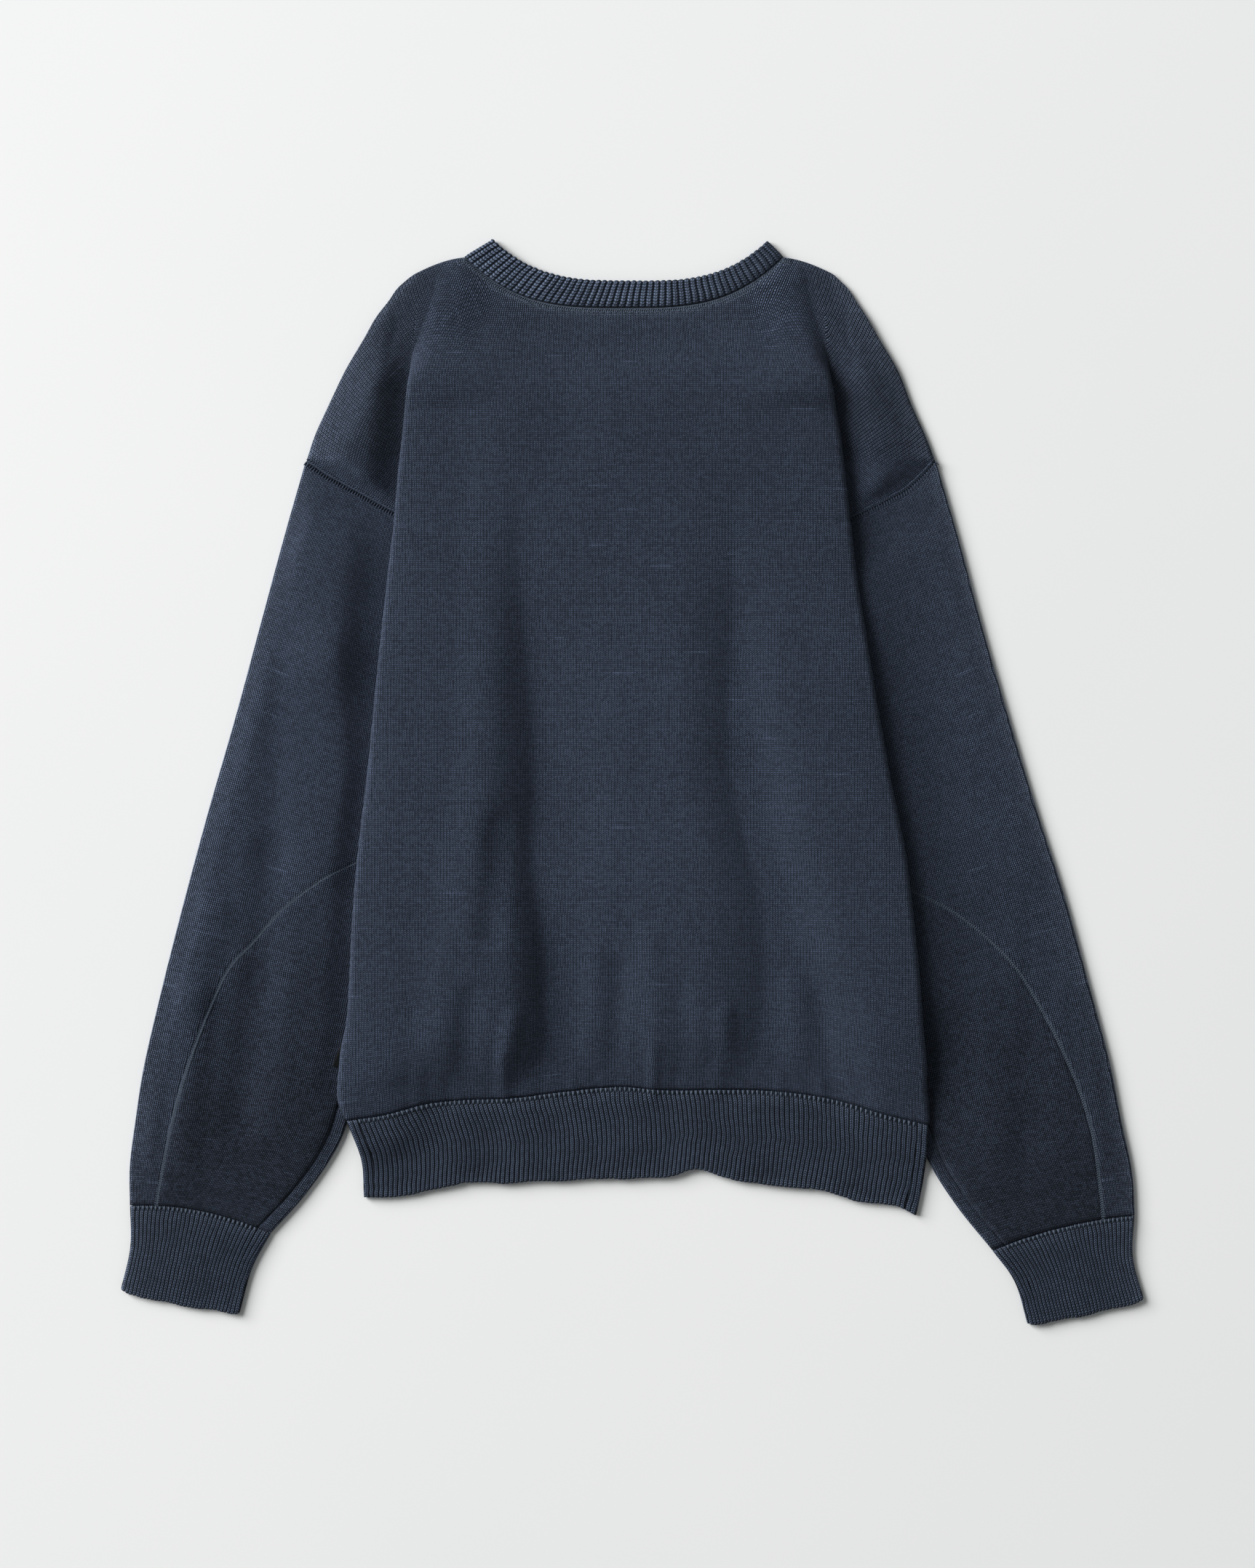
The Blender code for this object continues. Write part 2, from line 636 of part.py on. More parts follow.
def main():
    for obj in list(bpy.data.objects):
        bpy.data.objects.remove(obj, do_unlink=True)
    garment = bpy.data.collections.new("crewneck_sweater")
    bpy.context.scene.collection.children.link(garment)
    body_panel("back_panel", garment, 0.0, BACK_NECK_DEPTH + BACK_NECK_EASE)
    body_panel("front_panel", garment, PITCH, FRONT_NECK_DEPTH + FRONT_NECK_EASE)
    neck(garment)
    sleeve("sleeve_left", garment, SLEEVE_LEFT, ARC_LEFT, -1, "left")
    sleeve("sleeve_right", garment, SLEEVE_RIGHT, ARC_RIGHT, 1, "right")
    cuff("cuff_left", garment, CUFF_LEFT, -1)
    cuff("cuff_right", garment, CUFF_RIGHT, 1)
    hem(garment)
    label(garment)


main()
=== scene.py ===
import json
import bpy
import numpy as np
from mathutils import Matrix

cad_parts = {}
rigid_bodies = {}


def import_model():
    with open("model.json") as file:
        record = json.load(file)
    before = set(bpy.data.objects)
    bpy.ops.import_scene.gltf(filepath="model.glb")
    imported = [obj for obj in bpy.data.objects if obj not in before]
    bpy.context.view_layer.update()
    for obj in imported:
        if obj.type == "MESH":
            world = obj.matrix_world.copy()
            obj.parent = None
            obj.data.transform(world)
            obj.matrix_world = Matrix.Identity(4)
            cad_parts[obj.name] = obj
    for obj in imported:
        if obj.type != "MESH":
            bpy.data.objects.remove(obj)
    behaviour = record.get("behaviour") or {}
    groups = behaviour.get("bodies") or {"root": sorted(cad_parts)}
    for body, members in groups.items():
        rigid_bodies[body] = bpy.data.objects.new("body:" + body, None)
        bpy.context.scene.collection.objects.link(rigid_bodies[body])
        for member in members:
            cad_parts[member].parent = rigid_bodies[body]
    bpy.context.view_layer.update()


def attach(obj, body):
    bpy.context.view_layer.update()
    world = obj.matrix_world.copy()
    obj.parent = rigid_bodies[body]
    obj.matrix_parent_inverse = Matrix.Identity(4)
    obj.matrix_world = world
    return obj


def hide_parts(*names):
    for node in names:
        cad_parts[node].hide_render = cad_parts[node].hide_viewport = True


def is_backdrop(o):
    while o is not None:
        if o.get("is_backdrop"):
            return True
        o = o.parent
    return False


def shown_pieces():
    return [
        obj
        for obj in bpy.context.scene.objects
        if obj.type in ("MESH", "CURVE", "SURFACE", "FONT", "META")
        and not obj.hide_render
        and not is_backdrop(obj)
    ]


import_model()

# A heavy-knit crewneck laid flat, back up. Places are millimetres in the CAD's frame: x to the right,
# y to the neck, z out of the surface it lies on. Meshes are made in metres.
mm = 0.001
cloth = dict(
    wall=1.8,       # thickness of the knit
    layer=2.3,      # one layer of knit with the air above it
    seam=0.3,       # gap between two pieces at a seam
    wale=2.2,       # width of one column of stitches
    course=1.45,    # height of one row of stitches
)


def columns(rows):
    # a table's columns by name
    return {name: np.array([row[i] for row in rows[1:]], dtype=float) for i, name in enumerate(rows[0])}


def level(layer):
    # height of the middle of the cloth that lies in a layer
    return cloth["wall"] / 2 + layer * cloth["layer"]


def smooth(t):
    # 0 below 0, 1 above 1, and 3t^2 - 2t^3 between
    t = np.clip(t, 0.0, 1.0)
    return t * t * (3 - 2 * t)


def near(distance, reach):
    # 1 where there is no distance, and smoothly down to 0 at reach
    return 1 - smooth(distance / reach)


def through(at, x, y):
    # curve through points: a cubic on each span, whose end slopes come from the neighbouring points
    order = np.argsort(x)
    x, y = x[order], y[order]
    slope = np.gradient(y, x)
    at = np.clip(at, x[0], x[-1])
    i = np.clip(np.searchsorted(x, at) - 1, 0, len(x) - 2)
    span = x[i + 1] - x[i]
    t = (at - x[i]) / span
    start, end = (1 + 2 * t) * (1 - t) ** 2 * y[i], t * t * (3 - 2 * t) * y[i + 1]
    return start + end + t * (1 - t) * span * ((1 - t) * slope[i] - t * slope[i + 1])


def curveRows(rows, count):
    # a table's rows at even steps, each column a cubic curve through its values
    values = np.array(rows[1:], dtype=float)
    place = np.arange(len(values), dtype=float)
    at = np.linspace(0, len(values) - 1, count)
    return np.stack([through(at, place, values[:, i]) for i in range(values.shape[1])], axis=1)


def runningLength(path):
    # how far along a path each of its points is: the sum of its steps so far
    return np.concatenate(([0.0], np.cumsum(np.linalg.norm(np.diff(path, axis=0), axis=1))))


def sectionLength(x, z):
    # the same along each row of a grid
    steps = np.hypot(np.diff(x, axis=1), np.diff(z, axis=1))
    return np.concatenate((np.zeros((len(x), 1)), np.cumsum(steps, axis=1)), axis=1)


def softFolds(rows, x, y):
    # sum of long bumps: the height on the line from (x1, y1) to (x2, y2), smoothly down to 0 at 1.6 halves
    total = np.zeros(np.broadcast(x, y).shape)
    for x1, y1, x2, y2, half, height in rows[1:]:
        along = ((x - x1) * (x2 - x1) + (y - y1) * (y2 - y1)) / ((x2 - x1) ** 2 + (y2 - y1) ** 2)
        t = np.clip(along, 0.0, 1.0)
        far = np.hypot(x - x1 - t * (x2 - x1), y - y1 - t * (y2 - y1))
        total = total + height * near(far, 1.6 * half)
    return total


def ripple(x, y, size, seed):
    # gentle unevenness of cloth that has been worn: six crossing sine waves, about size long
    rng = np.random.default_rng(seed)
    total = np.zeros(np.broadcast(x, y).shape)
    turns, phases, scales = rng.uniform(0, np.pi, 6), rng.uniform(0, 6.28, 6), rng.uniform(0.7, 1.5, 6)
    for turn, phase, scale in zip(turns, phases, scales):
        total = total + np.sin((x * np.cos(turn) + y * np.sin(turn)) * 6.28 / (size * scale) + phase) / 6
    return total


# Materials

def linear(code):
    # sRGB hex to linear: ((c + 0.055) / 1.055) ^ 2.4, or c / 12.92 where c is small
    parts = [int(code[i:i + 2], 16) / 255 for i in (1, 3, 5)]
    return tuple(c / 12.92 if c <= 0.04045 else ((c + 0.055) / 1.055) ** 2.4 for c in parts) + (1.0,)


def put(tree, kind, links, give=0, **settings):
    # one node, with its settings; a link is another node's output, or else a value for that input
    made = tree.nodes.new("ShaderNode" + kind)
    for name, value in settings.items():
        setattr(made, name, value)
    for name, value in links.items():
        if isinstance(value, bpy.types.NodeSocket):
            tree.links.new(value, made.inputs[name])
        else:
            made.inputs[name].default_value = value
    return made.outputs[give]


def newMaterial(name, roughness, sheen):
    # a dull cloth shader; the fuzz of the fibres is its sheen
    made = bpy.data.materials.new(name)
    made.use_nodes = True
    values = {"Roughness": roughness, "IOR": 1.5, "Specular IOR Level": 0.25, "Sheen Weight": sheen,
              "Sheen Roughness": 0.45, "Sheen Tint": linear("#9aa6bc")}
    for socket, value in values.items():
        made.node_tree.nodes["Principled BSDF"].inputs[socket].default_value = value
    return made, made.node_tree


def dress(tree, colour, height=None, depth=0.0, strength=1.0):
    # links a colour to the shader, and a bump of the given depth in metres
    shader = tree.nodes["Principled BSDF"]
    tree.links.new(colour, shader.inputs["Base Color"])
    if height is not None:
        bump = put(tree, "Bump", {"Height": height, "Distance": depth, "Strength": strength})
        tree.links.new(bump, shader.inputs["Normal"])


knitLook = dict(
    # gap is painted shade for the hollows between stitches; the pale colour is partly wear and partly a
    # painted highlight
    yarn="#75829b", gap="#070e13", worn="#98a4ba",
    slant=0.8,          # how far a leg of the V climbs, in courses
    legAt=0.5,          # middle of a leg, from 0 at the wale's middle to 1 at its edge
    legHalf=0.47,       # half its width, the same way
    hollow=0.1,         # height left between two stitches
    relief=1.2,         # mm from the hollows to the crowns
    mottle=0.14, speckle=0.4, grain=0.55, streak=0.4, slub=0.45,
)
ribLook = dict(
    # gap here too is painted shade for the hollows between ribs and stitches
    yarn="#69768c", gap="#070d12", worn="#98a4b9",
    slant=0.9, legAt=0.42, legHalf=0.5, hollow=0.0, relief=1.2,
    mottle=0.14, speckle=0.3, grain=0.3, streak=0.2, slub=0.0,
)


def knitMaterial(name, look):
    # Cotton jersey, knitted then garment-dyed: rows of V stitches, each with two slanting legs. The UV map
    # counts wales and courses. Leg: 1 - ((away - legAt) / legHalf)^2 across, sin(pi * along) lengthways.
    made, tree = newMaterial(name, 0.92, 0.28)
    uv = put(tree, "UVMap", {}, uv_map="stitches")
    counts = put(tree, "SeparateXYZ", {0: uv}).node.outputs
    # the columns waver a little, by up to half a wale
    waver = put(tree, "TexNoise", {"Vector": uv, "Scale": 0.12, "Detail": 2.0})
    waver = put(tree, "Math", {0: waver, 1: 0.5}, operation="SUBTRACT")
    across = put(tree, "Math", {0: waver, 1: 0.9, 2: counts["X"]}, operation="MULTIPLY_ADD")
    away = put(tree, "Math", {0: across, 1: 1.0, 2: 0.0}, operation="WRAP")
    away = put(tree, "Math", {0: away, 1: 0.5}, operation="SUBTRACT")
    away = put(tree, "Math", {0: away}, operation="ABSOLUTE")
    away = put(tree, "Math", {0: away, 1: 2.0}, operation="MULTIPLY")
    climb = put(tree, "Math", {0: away, 1: -look["slant"], 2: counts["Y"]}, operation="MULTIPLY_ADD")
    along = put(tree, "Math", {0: climb, 1: 1.0, 2: 0.0}, operation="WRAP")
    crown = put(tree, "Math", {0: along, 1: np.pi}, operation="MULTIPLY")
    crown = put(tree, "Math", {0: crown}, operation="SINE")
    crown = put(tree, "Math", {0: crown, 1: 1 - look["hollow"], 2: look["hollow"]}, operation="MULTIPLY_ADD")
    leg = put(tree, "Math", {0: away, 1: look["legAt"]}, operation="SUBTRACT")
    leg = put(tree, "Math", {0: leg, 1: look["legHalf"]}, operation="DIVIDE")
    leg = put(tree, "Math", {0: leg, 1: leg}, operation="MULTIPLY")
    leg = put(tree, "Math", {0: 1.0, 1: leg}, operation="SUBTRACT", use_clamp=True)
    height = put(tree, "Math", {0: leg, 1: crown}, operation="MULTIPLY")
    # where the cloth is pulled sideways its wales part: height * (1 - parted * (away - 0.4) / 0.6)
    parted = put(tree, "Attribute", {}, 2, attribute_name="parted")
    part = put(tree, "MapRange", {"Value": away, "From Min": 0.4, "To Min": 0.0, "To Max": 1.0})
    part = put(tree, "Math", {0: part, 1: parted}, operation="MULTIPLY")
    part = put(tree, "Math", {0: 1.0, 1: part}, operation="SUBTRACT", use_clamp=True)
    height = put(tree, "Math", {0: height, 1: part}, operation="MULTIPLY")

    # painted shade darkens the hollows between stitches; paler where rubbed, partly wear and partly painted
    # highlight; the dye clouded over the piece, uneven from stitch to stitch
    body = put(tree, "Mix", {0: height, 6: linear(look["gap"]), 7: linear(look["yarn"])}, 2, data_type="RGBA")
    # the mark below paints the stitch crowns paler: partly wear, partly a painted highlight along rims and
    # folds
    worn = put(tree, "Attribute", {}, 2, attribute_name="worn")
    worn = put(tree, "Math", {0: worn, 1: height}, operation="MULTIPLY")
    body = put(tree, "Mix", {0: worn, 6: body, 7: linear(look["worn"])}, 2, data_type="RGBA")
    place = put(tree, "TexCoord", {}, "Object")
    cloud = put(tree, "TexNoise", {"Vector": place, "Scale": 14.0, "Detail": 4.0})
    grain = put(tree, "TexNoise", {"Vector": uv, "Scale": 0.8, "Detail": 3.0, "Roughness": 0.7})
    wale, course = (put(tree, "Math", {0: count}, operation="FLOOR") for count in (across, climb))
    cell = put(tree, "CombineXYZ", {0: wale, 1: course})
    chance = put(tree, "TexWhiteNoise", {"Vector": cell}, noise_dimensions="2D")
    # each course is one run of uneven yarn, so its shade changes along it, over about 20 wales
    streak = put(tree, "Mapping", {"Vector": uv, "Scale": (0.05, 0.9, 1.0)})
    streak = put(tree, "TexNoise", {"Vector": streak, "Scale": 1.0, "Detail": 2.0})
    # slubs: a few cells of a stretched Voronoi pattern, 24 mm by 2 mm, show as a pale thread
    stretch = put(tree, "Mapping", {"Vector": uv, "Scale": (0.09, 0.7, 1.0)})
    cells = put(tree, "TexVoronoi", {"Vector": stretch, "Scale": 1.0}).node.outputs
    thin = put(tree, "Math", {0: cells["Distance"], 1: 0.36}, operation="LESS_THAN")
    rare = put(tree, "Math", {0: cells["Color"], 1: 0.9}, operation="GREATER_THAN")
    slub = put(tree, "Math", {0: thin, 1: rare}, operation="MULTIPLY")
    # all of these add up to how bright the dye is, 1 on average, less where painted shade darkens a piece
    base = 1 - look["mottle"] - (look["speckle"] + look["grain"] + look["streak"]) / 2
    value = put(tree, "Math", {0: cloud, 1: look["mottle"] * 2, 2: base}, operation="MULTIPLY_ADD")
    for part, share in ((grain, "grain"), (streak, "streak"), (chance, "speckle"), (slub, "slub")):
        value = put(tree, "Math", {0: part, 1: look[share], 2: value}, operation="MULTIPLY_ADD")
    # painted shade: subtracted from the dye's brightness, darker towards the cuffs of the sleeves
    deep = put(tree, "Attribute", {}, 2, attribute_name="deep")
    value = put(tree, "Math", {0: value, 1: deep}, operation="SUBTRACT")
    body = put(tree, "HueSaturation", {"Value": value, "Color": body})
    dress(tree, body, height, look["relief"] * mm, 0.9)
    return made


def threadMaterial(name, yarn, dark):
    # Two-ply cotton sewing yarn: slightly smoother and bluer than the knit, with fine uneven dye.
    made, tree = newMaterial(name, 0.8, 0.3)
    place = put(tree, "TexCoord", {}, "Object")
    fibre = put(tree, "TexNoise", {"Vector": place, "Scale": 900.0, "Detail": 3.0})
    mix = put(tree, "Mix", {0: fibre, 6: linear(dark), 7: linear(yarn)}, 2, data_type="RGBA")
    dress(tree, mix, fibre, 0.3 * mm, 0.6)
    return made


def tapeMaterial(name):
    # Black woven tape of polyester: a plain weave, a little shiny on its threads. The real threads are
    # 0.2 mm apart and drawn 0.6 mm apart, so that they show.
    made, tree = newMaterial(name, 0.55, 0.1)
    place = put(tree, "TexCoord", {}, "Object")
    warp, weft = (put(tree, "TexWave", {"Vector": place, "Scale": 520.0}, bands_direction=d) for d in "XY")
    height = put(tree, "Math", {0: warp, 1: weft}, operation="MAXIMUM")
    mix = put(tree, "Mix", {0: height, 6: linear("#050506"), 7: linear("#1c1d21")}, 2, data_type="RGBA")
    dress(tree, mix, height, 0.2 * mm)
    return made


def boardMaterial(name):
    # Matt painted board: near white with the faintest clouding.
    made, tree = newMaterial(name, 0.9, 0.0)
    place = put(tree, "TexCoord", {}, "Object")
    cloud = put(tree, "TexNoise", {"Vector": place, "Scale": 2.0, "Detail": 2.0})
    mix = put(tree, "Mix", {0: cloud, 6: linear("#ececec"), 7: linear("#f0f0ef")}, 2, data_type="RGBA")
    dress(tree, mix)
    return made


jersey = knitMaterial("garment_dyed_cotton_jersey", knitLook)
ribKnit = knitMaterial("garment_dyed_cotton_rib", ribLook)
neckKnit = knitMaterial("garment_dyed_cotton_neck_rib", dict(ribLook, slant=0.3, legHalf=0.6))
linkingYarn = threadMaterial("cotton_linking_yarn", "#76818f", "#323b48")
seamYarn = threadMaterial("cotton_overlock_yarn", "#626d80", "#1c222b")
labelTape = tapeMaterial("woven_polyester_tape")
board = boardMaterial("matt_painted_board")
print("materials:", len(bpy.data.materials))


# Meshes

def newPiece(name, points, faces, material, uv=None, places=None, marks=None):
    # one object from arrays: points in mm, faces as rows of four corners, uv by corner, marks by point
    used, faces = np.unique(faces, return_inverse=True)
    faces = faces.reshape(-1, 4)
    mesh = bpy.data.meshes.new(name)
    mesh.from_pydata((points[used] * mm).tolist(), [], faces.tolist())
    mesh.polygons.foreach_set("use_smooth", np.ones(len(faces), dtype=bool))
    if uv is not None:
        layer = mesh.uv_layers.new(name="stitches")
        layer.data.foreach_set("uv", uv[places.ravel()].astype(np.float32).ravel())
    for mark, values in (marks or {}).items():
        layer = mesh.attributes.new(mark, "FLOAT", "POINT")
        layer.data.foreach_set("value", values[used].astype(np.float32))
    mesh.materials.append(material)
    obj = bpy.data.objects.new(name, mesh)
    bpy.context.scene.collection.objects.link(obj)
    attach(obj, "root")
    return obj


def faceCount(*objects):
    # how many faces some objects have together
    return sum(len(o.data.polygons) for o in objects)


def faceDirections(middle, closed):
    # unit normals of a grid, from the cross product of its two directions
    along = np.roll(middle, -1, 1) - np.roll(middle, 1, 1) if closed else np.gradient(middle, axis=1)
    normal = np.cross(along, np.gradient(middle, axis=0))
    return normal / np.maximum(np.linalg.norm(normal, axis=2, keepdims=True), 1e-9)


def clothWall(name, middle, uv, material, outward=1, raised=0.0, keep=None, closed=False,
              thick=cloth["wall"], **marks):
    # closed wall round a grid of middle points: half the thickness out along the normals, plus what is
    # raised, and half in; a strip closes every edge of the kept squares that has none on its other side
    rows, cols = middle.shape[:2]
    normal = faceDirections(middle, closed) * outward
    raised = np.broadcast_to(raised, (rows, cols))
    outer = middle + normal * (thick / 2 + raised)[..., None]
    inner = middle - normal * thick / 2
    wide = cols + 1 if closed else cols
    if keep is None:
        keep = np.ones((rows - 1, wide - 1), dtype=bool)
    r, c = np.nonzero(keep)
    corners = ((r, c), (r, c + 1), (r + 1, c + 1), (r + 1, c))
    vertex = np.stack([a * cols + b % cols for a, b in corners], axis=1)
    place = np.stack([a * wide + b for a, b in corners], axis=1)
    total = rows * cols
    after, placeAfter = np.roll(vertex, -1, 1), np.roll(place, -1, 1)
    edge = ~np.isin(after * total + vertex, vertex * total + after)
    a, b, pa, pb = vertex[edge], after[edge], place[edge], placeAfter[edge]
    rim = np.stack((b, a, a + total, b + total), axis=1)
    faces = np.concatenate((vertex, vertex[:, ::-1] + total, rim))
    places = np.concatenate((place, place[:, ::-1], np.stack((pb, pa, pa, pb), axis=1)))
    if outward < 0:
        faces, places = faces[:, ::-1], places[:, ::-1]
    points = np.concatenate((outer.reshape(-1, 3), inner.reshape(-1, 3)))
    for mark, values in marks.items():
        marks[mark] = np.tile(np.broadcast_to(values, (rows, cols)).ravel(), 2)
    uv = None if uv is None else uv.reshape(-1, 2)
    return newPiece(name, points, faces, material, uv, places, marks)


def tubes(centres, side, up, halfWidth, halfHeight, around):
    # closed tubes with flattened sections: centre + side * w * cos + up * h * sin, one section a centre
    count, rings = centres.shape[:2]
    angle = np.linspace(0, 2 * np.pi, around, endpoint=False) - np.pi / 2
    width, height = halfWidth[..., None, None], halfHeight[..., None, None]
    points = (centres[:, :, None] + side[:, :, None] * width * np.cos(angle)[:, None]
              + up[:, :, None] * height * np.sin(angle)[:, None])
    start = np.arange(count)[:, None, None] * rings * around
    k, m = np.arange(rings - 1)[None, :, None] * around, np.arange(around)[None, None, :]
    after = (m + 1) % around
    skin = np.stack([start + q for q in (k + m, k + after, k + around + after, k + around + m)], axis=-1)
    half = np.arange(around // 2 - 1)
    cap = np.stack((half, half + 1, around - 2 - half, around - 1 - half), axis=1)[None]
    start, last = start[:, :, :1], (rings - 1) * around
    faces = np.concatenate((skin.reshape(-1, 4), (start + cap[..., ::-1]).reshape(-1, 4),
                            (start + last + cap).reshape(-1, 4)))
    return points.reshape(-1, 3), faces


def joined(name, parts, material):
    # several groups of tubes as one object
    shift = np.cumsum([0] + [len(points) for points, faces in parts[:-1]])
    points = np.concatenate([points for points, faces in parts])
    faces = np.concatenate([faces + s for s, (points, faces) in zip(shift, parts)])
    return newPiece(name, points, faces, material)


def evenly(path, spacing):
    # points at even steps along a path, by its running length
    length = runningLength(path)
    at = np.linspace(0, length[-1], max(int(length[-1] / spacing), 2) + 1)
    return np.stack([np.interp(at, length, path[:, i]) for i in range(3)], axis=1)


def sidewards(path):
    # for each point of a path: its direction, the level direction to its left, and up
    along = np.gradient(path, axis=0)
    along /= np.linalg.norm(along, axis=1, keepdims=True)
    left = np.cross((0.0, 0.0, 1.0), along)
    left /= np.linalg.norm(left, axis=1, keepdims=True)
    return along, left, np.cross(along, left)


def bandOn(path, offset, rise, width, height):
    # low raised band along a path, moved sideways by offset and up by rise, thinner at both ends
    along, left, up = sidewards(path)
    centres = path + left * offset + up * rise
    share = np.linspace(0, 1, len(path))
    taper = np.sqrt(np.clip(np.minimum(share, 1 - share) * len(path) / 3, 0.05, 1))
    return tubes(centres[None], -left[None], up[None], taper[None] * width / 2, taper[None] * height / 2, 12)


def barsOn(path, spacing, offset, rise, length, lean, width, seed):
    # short stitches across a path: spindle sections, leaning from square by lean degrees, a little uneven;
    # with no spacing there is one at each point of the path
    points = evenly(path, spacing) if spacing else path
    along, left, up = sidewards(points)
    rng = np.random.default_rng(seed)
    count = len(points)
    turn = np.radians(lean + rng.uniform(-9, 9, count))[:, None]
    axis = left * np.cos(turn) + along * np.sin(turn)
    middle = points + left * (offset + rng.uniform(-0.15, 0.15, count))[:, None] + up * rise
    reach = (length * rng.uniform(0.88, 1.12, count) / 2)[:, None, None]
    share = np.array((-1.0, -0.6, 0.0, 0.6, 1.0))
    bulge = np.array((0.35, 0.85, 1.0, 0.85, 0.35))
    centres = middle[:, None] + axis[:, None] * reach * share[:, None] + up[:, None] * (bulge * 0.3)[:, None]
    ups = np.broadcast_to(up[:, None], centres.shape)
    sides = np.cross(ups, np.broadcast_to(axis[:, None], centres.shape))
    thick = np.broadcast_to(width / 2 * bulge, (count, 5))
    return tubes(centres, sides, ups, thick, thick, 6)


def ribShape(ribs, strength, seed, power=0.9):
    # height of rib knit from a running count of ribs: |sin|^power for each, uneven from rib to rib
    rng = np.random.default_rng(seed)
    number = np.floor(ribs).astype(int)
    uneven = rng.uniform(0.82, 1.12, number.max() - number.min() + 1)[number - number.min()]
    return strength * uneven * np.abs(np.sin(np.pi * ribs)) ** power


def raggedEdge(ribs, reach, seed):
    # how far the free edge of rib knit passes its line: a tooth for each rib, uneven, on a slow wave
    uneven = np.random.default_rng(seed).normal(0, 0.3, 200)
    tooth = 0.6 * np.abs(np.sin(np.pi * ribs)) - 0.35 + np.interp(ribs, np.arange(200) - 20, uneven)
    return reach * (tooth + 0.6 * np.sin(ribs * 0.5 + seed))


# Body: back and front panel

body = dict(
    rows=(
        # height, fold edges, turn of the fold in degrees, turned-under layer, lift below the underarm
        ("y", "left", "right", "turn", "tuck", "lift"),
        (355, -135, 122, 0, 2, 0),
        (335, -145, 129, 3, 2, 0),
        (320, -149.5, 133, 12, 2, 0),
        (310, -151.5, 134.5, 24, 2, 0),
        (302, -153, 135.5, 42, 2, 0),
        (294, -154, 136.5, 68, 2, 0),
        (287, -155, 137.5, 100, 2, 0),
        (280, -156, 138.5, 132, 2.5, 0),
        (272, -157, 140, 160, 6, 0),
        (262, -158, 141.5, 180, 12, 0),
        (242, -160, 145, 180, 20, 0),
        (225, -162, 147, 180, 26, 0),
        (180, -166, 152, 180, 32, 4.74),
        (145, -170, 156, 180, 36, 4.9),
        (100, -175, 163, 180, 38, 5.1),
        (50, -180, 171, 180, 40, 5.3),
        (0, -185, 180, 180, 40, 5.3),
        (-50, -191, 190, 180, 38, 5.3),
        (-100, -195, 196, 180, 33, 5.3),
        (-140, -197, 200, 180, 26, 5.2),
        (-168, -199, 202, 180, 16, 5.1),
        (-188, -203, 204, 180, 6, 5.0),
        (-198, -204, 205, 150, 4, 4.9),
        (-208, -205, 205, 110, 3, 4.8),
        (-220, -205, 206, 70, 2, 3.9),
        (-237, -199, 206, 30, 2, 2.7),
    ),
    shoulder=(
        # outer edge of the drop shoulder
        ("y", "left", "right"),
        (355, -155, 142),
        (347, -164, 150.5),
        (337, -171, 157),
        (327, -178.5, 163.5),
        (312, -187, 172),
        (288, -201, 186),
        (263, -213, 196),
        (243, -222, 205),
        (225, -228, 212),
    ),
    armhole=(
        ("y", "left", "right"),
        (225, -228, 212),
        (216, -215, 204),
        (205, -195, 192),
        (195, -177, 173),
        (188, -164, 159),
        (180, -149, 139),
    ),
    foldRadius=dict(left=4.3, right=5.0), returnRadius=1.15, underarm=180.0,
    slope=42.0, stack=22.0, margin=6.0,
    rightLift=5.5,          # the right side lies on more cloth than the left
    neckEnds=(-117.0, 105.0), neckTop=368.0, neckPower=3.2, shoulderRun=38.0, shoulderDrop=12.9,
    backNeck=35.5, frontNeck=106.3,
    bendStart=-120.0,
    hemSeam=(
        ("x", "y"),
        (-205, -237), (-172, -232), (-145, -225), (-114, -222), (-86, -221), (-45, -216), (-5, -213),
        (18, -215), (65, -215), (101, -216), (142, -222), (177, -232), (206, -239),
    ),
    pleatTop=303.0,         # where the fold at each side starts to open
    edgeRoll=1.1,           # how far the cloth dips at its seams
    sideRound=(2.2, 9.0),   # how far the back rises from its side folds, and over what distance
)
bodyPuff = (
    # how high the middle of the back stands, and the two valleys beside it: bottom and depth of each
    ("y", "high", "leftX", "leftDeep", "rightX", "rightDeep"),
    (355, 2.0, -80, 0, 74, 0),
    (330, 4.0, -80, 0, 74, 0),
    (312, 6.5, -80, 0, 74, 0),
    (290, 10.0, -80, 0, 74, 0),
    (265, 13.0, -80, 0, 74, 0),
    (235, 14.5, -80, 0.9, 74, 0.7),
    (195, 15.5, -79, 3.4, 74, 2.7),
    (150, 16.0, -77, 7.3, 73, 5),
    (100, 16.5, -73, 11, 71, 6.8),
    (50, 17.0, -69, 13.7, 69, 7.8),
    (0, 17.5, -67, 15.5, 71, 8.8),
    (-40, 17.5, -69, 15.5, 80, 9),
    (-80, 17.0, -66, 14.1, 90, 9),
    (-110, 16.0, -61, 14.6, 93, 9),
    (-150, 15.0, -60, 14.6, 93, 8.6),
    (-190, 13.0, -61, 12.9, 87, 8),
    (-214, 11.0, -76, 9, 81, 6.5),
)
